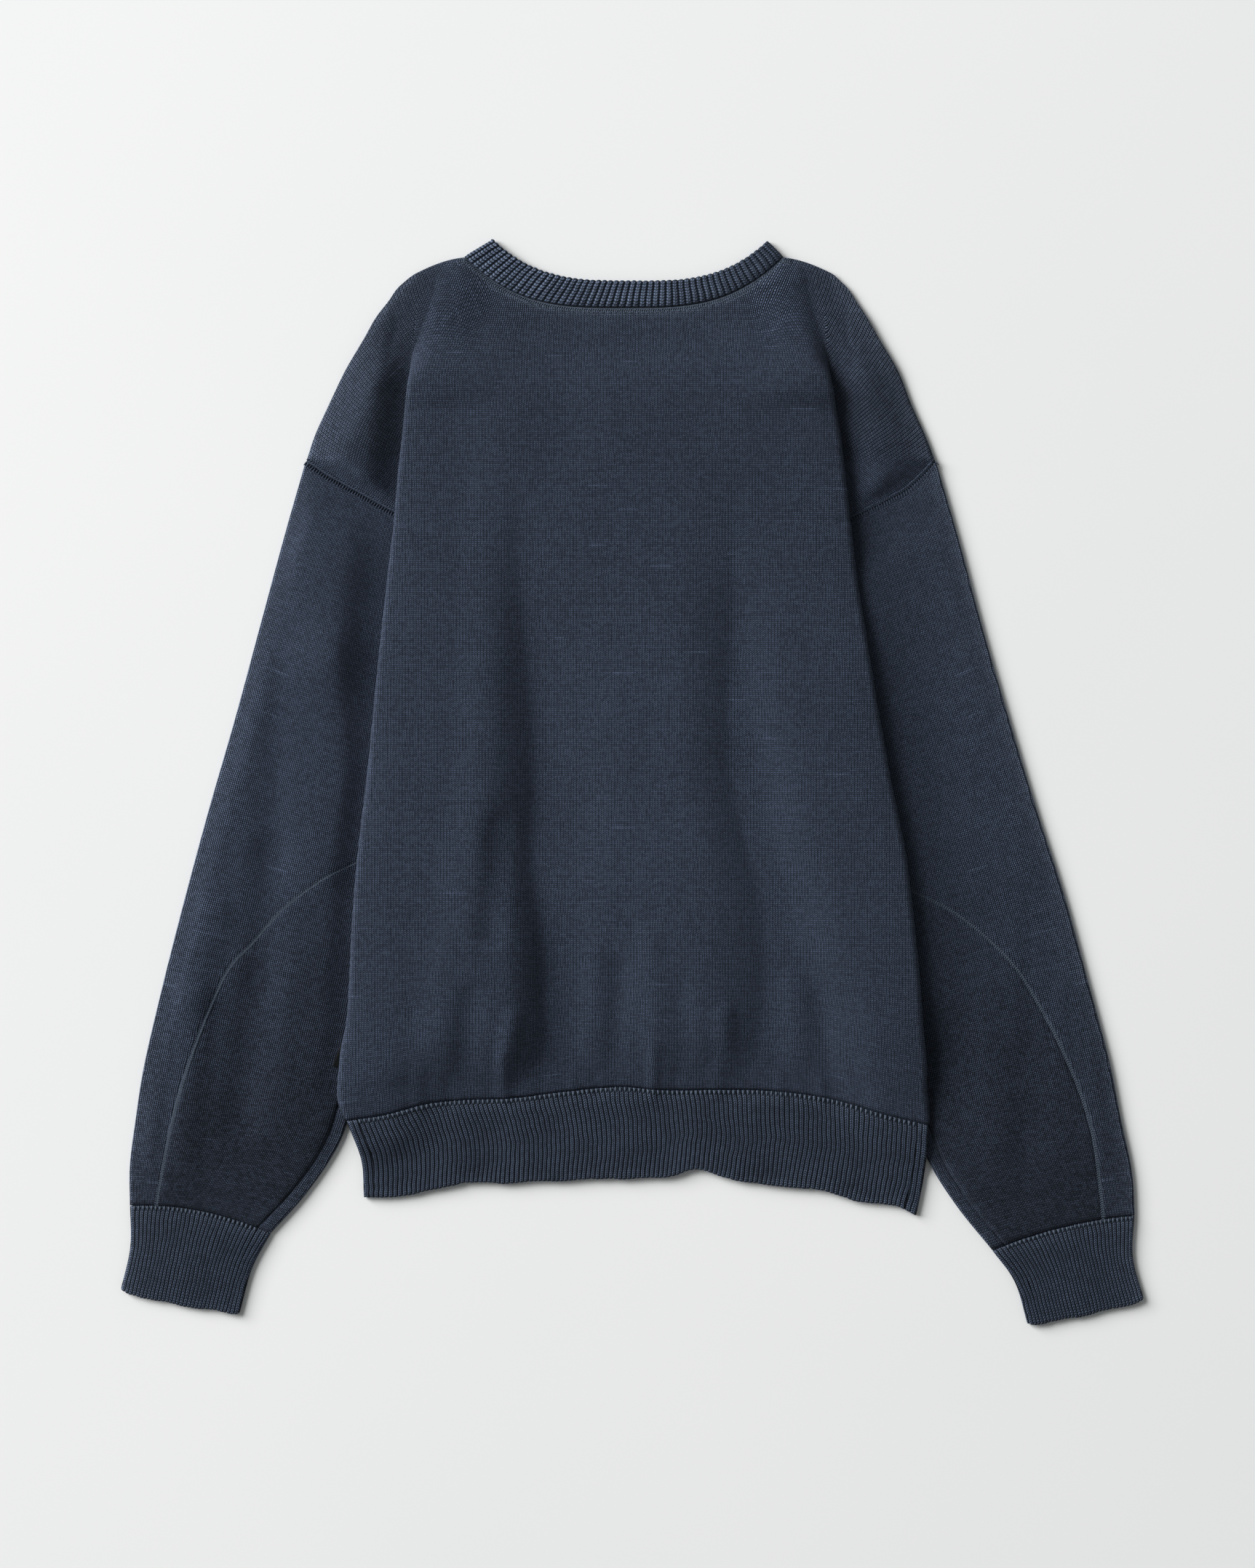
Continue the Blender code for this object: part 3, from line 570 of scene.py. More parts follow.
# widths of each valley's left wall, above and at the hem, and of its right wall; how round its foot is
valleyWalls = dict(left=(42.0, 27.0, 130.0), right=(36.0, 46.0, 116.0))
valleyFoot = (4.0, 18.0)
bodyFolds = (
    ("x1", "y1", "x2", "y2", "half", "height"),
    (-94, -30, -99, -105, 10, -2.8),
    (-84, -165, -90, -216, 7, 2.6),
    (-112, -150, -118, -220, 9, -1.8),
    (-134, -120, -136, -216, 11, 1.6),
    (-158, -130, -160, -225, 8, -1.6),
    (-26, -120, -28, -216, 9, 1.8),
    (-8, -130, -12, -214, 7, -1.6),
    (12, -110, 16, -216, 9, 1.6),
    (34, -140, 38, -214, 8, -1.5),
    (64, -160, 66, -214, 7, 2.2),
    (112, -140, 116, -216, 9, 1.6),
    (132, -150, 140, -222, 8, -1.4),
    (-8, 60, -20, -110, 14, 0.9),
    (-118, 190, -121, -60, 14, 1.1),
    (-150, 120, -156, -40, 12, -0.8),
    (110, 150, 118, -40, 16, 1.0),
    (-40, 300, -60, 180, 20, -0.8),
    (40, 320, 52, 190, 22, -0.8),
)
hemGathers = (
    # short puckers where the body is gathered into the hem
    ("x1", "y1", "x2", "y2", "half", "height"),
    (-150, -200, -151, -232, 5, 1.0),
    (-128, -206, -129, -226, 4, -0.7),
    (-91, -190, -90, -222, 4, 1.3),
    (-62, -205, -62, -222, 5, -0.9),
    (-41, -200, -41, -220, 4, 0.9),
    (-26, -203, -25, -219, 4, -0.8),
    (15, -185, 14, -217, 4, 1.5),
    (30, -204, 31, -217, 4, -0.9),
    (59, -200, 60, -217, 5, 0.9),
    (103, -204, 104, -220, 5, 0.8),
    (132, -206, 133, -222, 5, 1.0),
    (160, -212, 162, -228, 5, -0.7),
)
shoulderFolds = (
    # hollows that run into the pleats
    ("x1", "y1", "x2", "y2", "half", "height"),
    (-150, 350, -159, 296, 12, -3.4),
    (134, 348, 142, 296, 12, -3.4),
    (-176, 318, -190, 290, 14, 2.0),
    (-122, 345, -130, 305, 16, 2.0),
    (158, 318, 172, 290, 14, 1.6),
    (106, 345, 114, 305, 16, 2.0),
)
shoulderBulge = dict(left=11.5, right=6.5)   # how far each drop shoulder bulges up beside its pleat
panel, outerEdge, armhole = columns(body["rows"]), columns(body["shoulder"]), columns(body["armhole"])
hemSeamLine, puff = columns(body["hemSeam"]), columns(bodyPuff)


def bodyEdge(side, y):
    # x of the body's fold at the left or right side
    return through(y, panel["y"], panel["left" if side < 0 else "right"])


def foldAway(x, y):
    # how far the body's fold lies from the middle line, on the side that x is on
    return np.where(x < 0, -bodyEdge(-1, y), bodyEdge(1, y))


def clearOfBody(points, side):
    # how far outside the body's fold each point lies
    return np.abs(points[..., 0]) - np.abs(bodyEdge(side, points[..., 1]))


def neckLine(x, depth):
    # top edge: two shoulders that fall by drop * run^1.6, and between them a scoop, depth * (1 - reach^power)
    left, right = body["neckEnds"]
    away, half = np.abs(x - (left + right) / 2), (right - left) / 2
    scoop = body["neckTop"] - depth * (1 - np.minimum(away / half, 1.0) ** body["neckPower"])
    fall = body["shoulderDrop"] * np.clip((away - half) / body["shoulderRun"], 0.0, 1.0) ** 1.6
    return np.where(away < half, scoop, body["neckTop"] - fall)


def hemSeam(x):
    # seam of body and hem rib, lower towards the sides
    return through(x, hemSeamLine["x"], hemSeamLine["y"])


def sideShare(x, y):
    # 1 over the layers tucked beneath a side, down to 0 towards the middle
    share = np.zeros(np.broadcast(x, y).shape)
    tuck = through(y, panel["y"], panel["tuck"])
    stack = np.maximum(tuck + max(body["foldRadius"].values()), body["stack"])
    stack = stack + body["returnRadius"] + body["margin"]
    for side in (-1, 1):
        share = share + near(side * (bodyEdge(side, y) - x) - stack, body["slope"])
    return share


def bodySide(y, side, depth, steps):
    # Section of one side at each height, from its outer end in: drop shoulder, return, turned-under layer
    # and fold. The fold and the return are arcs of the same turn; depth is the panel's distance below
    # the back. Returns x, z, the lift of the side and how far along the cloth turns under (0 to 1).
    name = "left" if side < 0 else "right"
    dropSteps, returnSteps, tuckSteps, foldSteps = steps
    y = y[:, None]
    edge = bodyEdge(side, y)
    outer = np.where(y >= armhole["y"][0], through(y, outerEdge["y"], outerEdge[name]),
                     np.interp(y, armhole["y"][::-1], armhole[name][::-1]))
    turn = np.radians(np.clip(through(y, panel["y"], panel["turn"]), 1.2, 180))
    tuck = np.maximum(through(y, panel["y"], panel["tuck"]), 2.0)
    slack = np.where(y > body["underarm"], np.pi / turn, 1.0)
    foldRadius, returnRadius = body["foldRadius"][name] * slack, body["returnRadius"] * slack
    rise = (foldRadius + returnRadius) * (1 - np.cos(turn)) + tuck * np.sin(turn)
    lift = through(y, panel["y"], panel["lift"]) * cloth["layer"]
    lift = lift + (body["foldRadius"][name] - body["foldRadius"]["left"]) * (1 - np.cos(turn))
    if side > 0:
        lift = lift + body["rightLift"] * smooth((180 - y) / 120) * smooth((y + 225) / 70)
    top = level(1) + np.where(y > body["underarm"], rise, lift)
    start = foldRadius * np.sin(np.minimum(turn, np.pi / 2))
    angle = turn * np.linspace(0, 1, foldSteps + 1)
    inX = start - (foldRadius - depth) * np.sin(angle)
    inZ = top - foldRadius + (foldRadius - depth) * np.cos(angle)
    run = tuck * np.linspace(0, 1, tuckSteps + 1)[1:]
    tuckX, tuckZ = inX[:, -1:] - run * np.cos(turn), inZ[:, -1:] - run * np.sin(turn)
    hubX = tuckX[:, -1:] - np.sin(turn) * (returnRadius + depth)
    hubZ = tuckZ[:, -1:] + np.cos(turn) * (returnRadius + depth)
    angle = turn * np.linspace(1, 0, returnSteps + 1)[1:]
    backX = hubX + (returnRadius + depth) * np.sin(angle)
    backZ = hubZ - (returnRadius + depth) * np.cos(angle)
    dropX = backX[:, -1:] + (side * (edge - outer) - backX[:, -1:]) * np.linspace(0, 1, dropSteps + 1)[1:]
    dropZ = np.broadcast_to(backZ[:, -1:], dropX.shape)
    x = np.concatenate((inX, tuckX, backX, dropX), axis=1)[:, ::-1]
    z = np.concatenate((inZ, tuckZ, backZ, dropZ), axis=1)[:, ::-1]
    under = np.concatenate((np.linspace(0, 1, x.shape[1] - dropSteps), np.ones(dropSteps)))[::-1]
    return edge - side * x, z, top - level(1), under


def bodyPuffAt(x, y):
    # height of the back between its sides: a plateau less two creases, each (1 - distance / wall)^2
    total = through(y, puff["y"], puff["high"])
    for name, (left, lowLeft, right) in valleyWalls.items():
        left = left + (lowLeft - left) * smooth((-20 - y) / 90)
        away = x - through(y, puff["y"], puff[name + "X"])
        foot = np.where(away < 0, *valleyFoot)
        far = (np.hypot(away, foot) - foot) / np.where(away < 0, left, right)
        total = total - through(y, puff["y"], puff[name + "Deep"]) * (1 - np.minimum(far, 1.0)) ** 2
    return total


def armholeAt(x):
    # y of the armhole seam, on either side
    left = np.interp(x, armhole["left"], armhole["y"])
    return np.where(x < 0, left, np.interp(x, armhole["right"][::-1], armhole["y"][::-1]))


def stitchTurn(x, y):
    # Column direction of the drop shoulder, in radians off upright: 24 degrees at its top, 56 at its foot
    return np.radians(24 + 32 * np.clip((355 - y) / 130, 0, 1)) * np.sign(x)


def bodyGrid(depth, neckDepth, steps, centreSteps, rowStep):
    # the panel's middle points, its stitch coordinates, and which squares are cloth
    y = np.unique(np.concatenate((np.arange(panel["y"][-1], panel["y"][0], rowStep),
                                  [panel["y"][0], 225.0, 216.0, body["underarm"]])))[::-1]
    leftX, leftZ, leftLift, under = bodySide(y, -1, depth, steps)
    rightX, rightZ, rightLift, _ = bodySide(y, 1, depth, steps)
    share = np.linspace(0, 1, centreSteps + 1)[1:-1]
    x = leftX[:, -1:] * (1 - share) + rightX[:, -1:] * share
    lift = np.where(x < 0, leftLift, rightLift) * sideShare(x * (1 - depth / 150), y[:, None])
    z = level(1) - depth + lift
    x = np.concatenate((leftX, x, rightX[:, ::-1]), axis=1)
    z = np.concatenate((leftZ, z, rightZ[:, ::-1]), axis=1)
    under = np.concatenate((under, np.zeros(centreSteps - 1), under[::-1]))
    row = np.broadcast_to(y[:, None], x.shape)
    bend = neckLine(x, neckDepth) - cloth["seam"] - y[0]
    upper = np.clip(1 - (y[0] - row) / (40 + 1.6 * np.abs(bend)), 0, 1)
    lower = np.clip((row - body["bendStart"]) / (y[-1] - body["bendStart"]), 0, 1)
    newY = row + bend * upper + (hemSeam(x) + cloth["seam"] - y[-1]) * lower
    middle = np.stack((x, newY, z), axis=2)

    # stitches: across by the running length of the section, up by the height on the knitted panel
    across = sectionLength(x, z)
    centre = np.argmin(np.abs(x[len(y) // 2]))
    across = across - across[:, centre:centre + 1] + x[:, centre:centre + 1]
    up = row + bend * upper
    turn = stitchTurn(x, newY)
    apexX = np.where(x < 0, bodyEdge(-1, body["pleatTop"]), bodyEdge(1, body["pleatTop"]))
    dx, dy = x - apexX, newY - body["pleatTop"]
    turnedAcross = apexX + dx * np.cos(turn) - dy * np.sin(turn)
    turnedUp = body["pleatTop"] + dx * np.sin(turn) + dy * np.cos(turn)
    # between the pleats' tops and the neck the columns lean out, by as much as those of the shoulder
    above = np.clip((newY - 275) / 60, 0, 1)
    lean = 60 * (above ** 3 - above ** 4 / 2) + np.maximum(newY - 335, 0)
    across = across - np.sign(x) * 0.45 * smooth((np.abs(x) - 40) / 115) * lean
    shoulder = smooth((np.abs(x) - foldAway(x, newY) + 50) / 55) * smooth((newY - 298) / 40)
    share = np.maximum(smooth((under - 0.6) / 0.35), shoulder)
    uv = np.stack((across + (turnedAcross - across) * share, up + (turnedUp - up) * share), axis=2)
    uv = uv / (cloth["wale"], cloth["course"])

    keep = np.ones((len(y) - 1, x.shape[1] - 1), dtype=bool)
    ends = steps[0] + steps[1]
    below = y[1:] < body["underarm"] - 0.01
    keep[np.ix_(below, range(ends))] = False
    keep[np.ix_(below, range(keep.shape[1] - ends, keep.shape[1]))] = False
    return middle, uv, keep, y, under


def backPanel():
    # the back in sight: the grid raised by its puff, folds, rounding and bulges, and dipped at its seams
    steps = (26, 6, 8, 14)
    middle, uv, keep, y, under = bodyGrid(0.0, body["backNeck"], steps, 150, 3.0)
    x, newY, z = np.moveaxis(middle.copy(), 2, 0)
    sides = sum(steps) + 1
    centre = slice(sides, middle.shape[1] - sides)
    topEdge, seamEdge = neckLine(x, body["backNeck"]), hemSeam(x)
    fade = (1 - sideShare(x, newY)) * smooth((topEdge - newY) / 50) * smooth((newY - seamEdge) / 60 + 0.16)
    loft = np.maximum(bodyPuffAt(x, newY) + softFolds(bodyFolds, x, newY), 0.0) * fade
    loft += softFolds(hemGathers, x, newY) * (1 - sideShare(x, newY) * 0.6)
    loft += 0.7 * ripple(x, newY, 70, 3) * fade
    # it rounds off towards the folds at its sides: far * (1 - e^(-inside / over))
    far, over = body["sideRound"]
    inside = np.minimum(x - bodyEdge(-1, newY), bodyEdge(1, newY) - x) - max(body["foldRadius"].values())
    rounding = far * (1 - np.exp(-np.maximum(inside, 0) / over))
    loft += rounding * smooth((300 - newY) / 30) * smooth((newY - seamEdge) / 40)
    z[:, centre] += loft[:, centre]
    z += softFolds(shoulderFolds, x, newY) * smooth((newY - 228) / 14) * smooth((topEdge - newY) / 10)
    # the drop shoulders bulge between pleat and outer edge
    edge = foldAway(x, newY)
    rim = np.abs(x - np.where(x < 0, x[:, :1], x[:, -1:]))
    bulge = np.where(x < 0, shoulderBulge["left"], shoulderBulge["right"])
    bulge = bulge * smooth((np.abs(x) - edge - 1) / 25)
    z = np.maximum(z, level(1) - 0.3)
    z += bulge * smooth(rim / 32) * smooth((newY - armholeAt(x)) / 14) * smooth((322 - newY) / 45)
    # the cloth dips where it is sewn, and rolls over at the shoulder's outer edge
    dip = np.maximum(near(newY - seamEdge, 5), near(topEdge - newY, 3.5))
    dip = np.maximum(dip, near(rim, 6) * (newY > body["underarm"]))
    z -= body["edgeRoll"] * dip
    middle = np.stack((x, newY, z), axis=2)
    # paler where it rubs, partly wear and partly a painted highlight: the folds at the sides and the outer
    # edge of the shoulders
    worn = np.maximum(1.0 * np.exp(-rim / 12) * (newY > 225), 0.4 * np.exp(-(topEdge - newY) / 8))
    worn = np.maximum(worn, 0.15 * np.exp(-np.abs(np.abs(x) - edge) / 5))
    worn = np.maximum(worn, 0.25 * (under > 0.6) * smooth((newY - 225) / 20))
    parted = under * smooth((newY - 215) / 20) + 0.35 * (1 - under) * smooth((newY - 180) / 90)
    obj = clothWall("backPanel", middle, uv, jersey, -1, 0.0, keep, worn=worn, parted=parted)
    return obj, middle, y


def frontPanel():
    # the hidden front: the same grid one layer lower, with a deeper neck and no folds
    middle, uv, keep, y, under = bodyGrid(cloth["layer"], body["frontNeck"], (10, 4, 4, 8), 50, 8.0)
    return clothWall("frontPanel", middle, uv, jersey, -1, 0.0, keep)


back, backMiddle, backRows = backPanel()
front = frontPanel()
print("body:", faceCount(back, front), "faces")


# Sleeves

sleeves = dict(
    wrap=8.0,               # how far the lower layer rolls up round the inner edge
    rowStep=3.0,
    gauge=118.0,            # its columns are counted as if it were this wide all along
    dip=0.8,                # how far the cloth dips at its seams
    steps=(44, 8, 16, 8),   # across the upper layer, round each turn, along the lower layer and the roll
    deep=(0.22, 0.42),      # how much painted shade darkens the main piece and the forearm at the cuff
)
leftSleeve = dict(
    side=-1, low=1.0, ramp=(19.0, 33.0),    # kept low this far out from the body's edge, then rises over
                                            # the ramp: its width low down, and near the armhole
    crown=(4.0, 3.6),       # how far the upper layer stands off the lower one, at its outer and inner edge
    ridge=0.0,              # how far it bulges under the body's edge
    rows=(
        ("outerX", "outerY", "innerX", "innerY", "bow"),
        (-228, 225, -133, 171, 0),
        (-243, 172, -138, 122, 0),
        (-260, 109, -143, 62, 0),
        (-277, 46, -149, 2, 0),
        (-296, -20, -158, -58, 0),
        (-313, -83, -170, -116, 0),
        (-328, -142, -182, -170, 0),
        (-341, -198, -196, -222, 0),
        (-347, -236, -207, -254, 2),
        (-351, -268, -229, -287, 4),
        (-351, -296, -254, -315, 6),
    ),
    arc=(
        ("x", "y"),
        (-154, -32), (-191, -54), (-216, -67), (-244, -88), (-265, -111), (-284, -133),
        (-304, -179), (-320, -232), (-331, -283), (-334, -302),
    ),
    folds=(
        ("x1", "y1", "x2", "y2", "half", "height"),
        (-206, 185, -211, 90, 28, 6.0),
        (-211, 90, -216, -50, 24, 3.4),
        (-226, -70, -234, -130, 22, 1.2),
        (-234, -130, -248, -240, 20, 1.8),
        (-292, -90, -306, -150, 12, 2.4),
        (-306, -150, -316, -285, 12, 3.4),
        (-250, 40, -252, -50, 12, -2.0),
        (-252, -50, -259, -140, 13, -2.6),
        (-259, -140, -275, -240, 13, -2.8),
        (-246, 130, -250, 60, 10, -1.2),
    ),
)
rightSleeve = dict(
    side=1, low=1.0, ramp=(40.0, 40.0), crown=(0.5, 3.5), ridge=6.6,
    rows=(
        ("outerX", "outerY", "innerX", "innerY", "bow"),
        (212, 225, 119, 167, 0),
        (229, 166, 124, 118, 0),
        (244, 110, 132, 62, 0),
        (262, 48, 142, 2, 0),
        (282, -18, 156, -58, 0),
        (302, -80, 169, -116, 0),
        (318, -138, 183, -172, 0),
        (333, -194, 195, -228, 0),
        (341, -234, 208, -264, 1),
        (349, -272, 228, -296, 3),
        (351, -303, 253, -327, 4),
    ),
    arc=(
        ("x", "y"),
        (158, -52), (199, -77), (221, -88), (243, -104), (262, -122), (277, -142),
        (301, -186), (321, -239), (329, -294), (330, -312),
    ),
    folds=(
        ("x1", "y1", "x2", "y2", "half", "height"),
        (222, 165, 244, 60, 15, 1.0),
        (250, 40, 272, -60, 18, 0.8),
        (318, -120, 330, -260, 10, 1.4),
        (244, -150, 256, -285, 14, 1.4),
        (286, -110, 276, -256, 13, -1.8),
    ),
)


def ringSection(width, start, end, steps):
    # Flattened tube, as distance from the outer edge and height: in on the upper layer from start, round
    # the outer turn, back along the lower layer, round the inner turn and out on the upper layer to end.
    topSteps, turnSteps, lowSteps, lapSteps = steps
    radius = cloth["layer"] / 2
    middle = level(0) + radius
    angle = np.linspace(0, np.pi, turnSteps + 1)
    ones = np.ones_like(width)
    start = start * ones
    top = start + (radius - start) * np.linspace(0, 1, topSteps + 1)[:-1]
    low = radius + (width - 2 * radius) * np.linspace(0, 1, lowSteps + 1)[1:-1]
    lap = width - radius + (end - width + radius) * np.linspace(0, 1, lapSteps + 1)[1:]
    across = np.concatenate((top, ones * (radius - radius * np.sin(angle)), low,
                             width - radius + radius * np.sin(angle), lap), axis=1)
    height = np.concatenate((np.full(topSteps, middle + radius), middle + radius * np.cos(angle),
                             np.full(lowSteps - 1, level(0)), middle - radius * np.cos(angle),
                             np.full(lapSteps, middle + radius)))
    return across, np.broadcast_to(height, across.shape)


def rowWidth(rows):
    # distance from each row's outer edge to its inner one
    return np.hypot(rows[:, 2] - rows[:, 0], rows[:, 3] - rows[:, 1])[:, None]


def onRows(rows, across, height):
    # places a section on rows: outer edge + span * share, with the row's bow as a parabola
    span = rows[:, 2:4] - rows[:, 0:2]
    share = across / rowWidth(rows)
    x = rows[:, 0:1] + span[:, 0:1] * share
    y = rows[:, 1:2] + span[:, 1:2] * share + rows[:, 4:5] * 4 * share * (1 - share)
    return np.stack((x, y, height), axis=2)


def sleeveRows(sleeve):
    # the sleeve's rows at even steps of its length, and the running length along its outer edge
    fine = curveRows(sleeve["rows"], 400)
    length = runningLength(fine[:, :2])
    at = np.linspace(0, length[-1], int(length[-1] / sleeves["rowStep"]) + 1)
    return np.stack([np.interp(at, length, fine[:, i]) for i in range(5)], axis=1), at


def arcCut(rows, sleeve):
    # distance from each row's outer edge to the curved seam, or nan where the row misses it
    arc = curveRows(sleeve["arc"], 80)
    arc = arc[np.argsort(arc[:, 0])]
    width = rowWidth(rows)
    across = width * np.linspace(0, 1, 600)
    points = onRows(rows, across, np.zeros_like(across))
    below = points[..., 1] < np.interp(points[..., 0], arc[:, 0], arc[:, 1])
    hit = below[:, 1:] & ~below[:, :-1]
    cut = across[np.arange(len(rows)), np.argmax(hit, axis=1) + 1]
    return np.where(hit.any(axis=1) & ~below[:, 0], cut, np.nan)


def sleeveLoft(points, sleeve, width, across, rowShare):
    # how far the upper layer stands up: a low crown and the soft folds, flat under the body and at the ends
    x, y, z = np.moveaxis(points, 2, 0)
    clear = clearOfBody(points, sleeve["side"])
    lower, upper = sleeve["ramp"]
    ramp = lower + (upper - lower) * smooth(y / 100)
    top = z > level(1) - 0.01
    free = smooth((clear - sleeve["low"]) / ramp) * top
    edges = smooth(across / 16) * smooth((width - across) / 18)
    ends = smooth(rowShare * 9) * smooth((1 - rowShare) * 9)
    outer, inner = sleeve["crown"]
    folds = outer + (inner - outer) * across / width
    folds = folds + softFolds(sleeve["folds"], x, y) + 0.7 * ripple(x, y, 55, 5 + sleeve["side"])
    ridge = sleeve["ridge"] * smooth((clear + 16) / 16) * near(clear, 40) * top
    ridge = ridge * smooth((185 - y) / 60) * smooth((y + 195) / 50)
    return (np.maximum(folds, 0.0) * free + ridge) * edges * ends


def sleevePieces(prefix, sleeve):
    # Main piece: a flattened tube on the table's rows, open above the forearm, which lies in the opening.
    # Returns both, and the curved seam between them.
    side = sleeve["side"]
    rows, along = sleeveRows(sleeve)
    rowShare = np.linspace(0, 1, len(rows))[:, None]
    width = rowWidth(rows)
    end = width - sleeves["wrap"]
    cut = arcCut(rows, sleeve)[:, None]
    start = np.where(np.isnan(cut), end - cloth["seam"], np.minimum(cut, end - cloth["seam"]))
    across, height = ringSection(width, start, end, sleeves["steps"])
    middle = onRows(rows, across, height)
    # the top edge follows the armhole's curve
    sag = armholeAt(middle[:1, :, 0]) - 1.5 * cloth["seam"] - middle[:1, :, 1]
    sag *= smooth((np.abs(middle[:1, :, 0]) - 140) / 12)
    middle[..., 1] += sag * near(along[:, None], 45)
    upper = height > level(1) - 0.01
    middle[..., 2] += sleeveLoft(middle, sleeve, width, across, rowShare)
    # the cloth dips along its own seams
    toCuff = along[-1] - along[:, None]
    atCut = near(start - across, 2.5) * (across < start + 0.01) * ~np.isnan(cut)
    dip = np.maximum(near(np.abs(across - end), 3), atCut)
    dip = np.maximum(dip, np.maximum(near(toCuff, 3.5), 1.2 * near(along[:, None], 4)))
    middle[..., 2] -= sleeves["dip"] * dip * upper * smooth((clearOfBody(middle, side) + 6) / 10)
    # stitches: across by the running length of the section, counted from the outer edge
    run = sectionLength(across, height)
    edge = sleeves["steps"][0] + sleeves["steps"][1] // 2
    wales = (run[:, edge:edge + 1] - run) / width * sleeves["gauge"] / cloth["wale"]
    uv = np.stack(np.broadcast_arrays(wales, -along[:, None] / cloth["course"]), axis=2)
    # paler along both edges: partly wear, partly a painted highlight
    worn = 0.6 * np.exp(-across / 7) + 0.3 * np.exp(-(width - across) / 5)
    # painted shade, darker towards the cuff, away from the lamp
    shadeTowardsCuff = smooth(along[:, None] / along[-1] * 1.7 - 0.6)
    deep, paintedShadeForearm = (deep * shadeTowardsCuff for deep in sleeves["deep"])
    main = clothWall(f"{prefix}Sleeve", middle, uv, jersey, -side, worn=worn, deep=deep)

    # forearm: from the curved seam to the end of the upper layer, on the rows that the seam cuts
    rowsIn = np.nonzero((~np.isnan(cut) & (end - cut > 2.0))[:, 0])[0]
    part = slice(rowsIn[0], rowsIn[-1] + 1)
    cut, end, width = cut[part], end[part], width[part]
    inner = cut + cloth["seam"] + (end - 2 * cloth["seam"] - cut) * np.linspace(0, 1, 34)
    points = onRows(rows[part], inner, np.full(inner.shape, level(1)))
    points[..., 2] += sleeveLoft(points, sleeve, width, inner, rowShare[part])
    dip = np.maximum(np.maximum(near(inner - cut, 2.5), near(end - inner, 3)), near(toCuff[part], 3.5))
    points[..., 2] -= sleeves["dip"] * dip * smooth((clearOfBody(points, side) + 6) / 10)
    wales = inner / width * sleeves["gauge"] / cloth["wale"] + 0.37
    uv = np.stack(np.broadcast_arrays(wales, 0.4 - along[part, None] / cloth["course"]), axis=2)
    # paler along the inner edge: partly wear, partly a painted highlight
    worn = 0.3 * np.exp(-(width - inner) / 6)
    forearm = clothWall(f"{prefix}Forearm", points, uv, jersey, side, worn=worn, deep=paintedShadeForearm[part])
    seam = middle[part, 0].copy()
    seam[:, 2] += cloth["wall"] / 2
    return main, forearm, seam


leftMain, leftForearm, leftArc = sleevePieces("left", leftSleeve)
rightMain, rightForearm, rightArc = sleevePieces("right", rightSleeve)
print("sleeves:", faceCount(leftMain, rightMain, leftForearm, rightForearm), "faces")


# Cuffs

cuffs = dict(
    pitch=3.08, height=0.36, perRib=8, ragged=0.8, depth=61.5, course=1.6,
    left=(
        ("outerX", "outerY", "innerX", "innerY", "bow"),
        (-351, -296, -254, -315, 6),
        (-351, -326, -267, -340, 3),
        (-358, -357, -276, -372, -1),
    ),
    right=(
        ("outerX", "outerY", "innerX", "innerY", "bow"),
        (351, -303, 253, -327, 4),
        (350, -333, 269, -350, 2),
        (358, -363, 278, -380, -1),
    ),
)


def cuffPiece(name, table, side, seed):
    # a flattened tube on the table's rows with |sin| ribs, and the points where its ribs start
    rows = curveRows(table, 27)
    rows[0, [1, 3]] -= 1.7 * cloth["seam"]
    width = rowWidth(rows)
    end = width - sleeves["wrap"]
    ribs = round((width[0, 0] - sleeves["wrap"]) / cuffs["pitch"])
    across, height = ringSection(width, end - cloth["seam"], end, (ribs * cuffs["perRib"], 10, ribs * 4, 10))
    middle = onRows(rows, across, height)
    upper = height > level(1) - 0.01
    # the running count of ribs goes with the share of the width, and waves a little down the cuff
    down = np.linspace(0, 1, len(rows))[:, None]
    count = across / end * ribs
    wave = 0.16 * np.sin(count * 0.9 + down * 5 + seed)
    rise = ribShape(count, cuffs["height"], seed)
    # the free edge is ragged, with its corners drawn in
    way = rows[-1, :2] - rows[-4, :2]
    drawn = 1.7 * np.exp(-across / 2) + 1.3 * np.exp((across - width) / 2)
    drop = raggedEdge(count, cuffs["ragged"], seed) - drawn
    middle[..., :2] += (drop * smooth(down * 7 - 6))[..., None] * way / np.hypot(*way)
    ends = smooth(down * 20 + 0.25) * smooth((1 - down) * 20 + 0.35)
    crown = 1.6 * np.sin(np.pi * np.clip(across / width, 0, 1)) * smooth(down * 5) * smooth((1 - down) * 7)
    middle[..., 2] += crown * upper * smooth((width - across) / 14) * smooth(across / 10)
    middle[..., 0] += wave * upper * smooth(across / 6)
    # ribs stand up on the upper layer; underneath their grooves are cut in, so that it lies flat
    raised = np.where(upper, rise * ends, rise * ends * 0.5 - cuffs["height"] * 0.5)
    uv = np.stack(np.broadcast_arrays(count, down * cuffs["depth"] / cuffs["course"]), axis=2)
    # paler at the edges and ends: partly wear, partly a painted highlight
    worn = 0.35 * np.exp(-across / 9) + 0.25 * np.exp(-(1 - down) * 61 / 4) + 0.6 * np.exp(-down * 61 / 3)
    tips = middle[0, 4:ribs * cuffs["perRib"]:cuffs["perRib"]]
    return clothWall(name, middle, uv, ribKnit, -side, raised, worn=worn), tips


leftCuff, leftTips = cuffPiece("leftCuff", cuffs["left"], -1, 11)
rightCuff, rightTips = cuffPiece("rightCuff", cuffs["right"], 1, 12)
print("cuffs:", faceCount(leftCuff, rightCuff), "faces")


# Hem rib: a back strip between the side seams, and a front one that wraps round both sides

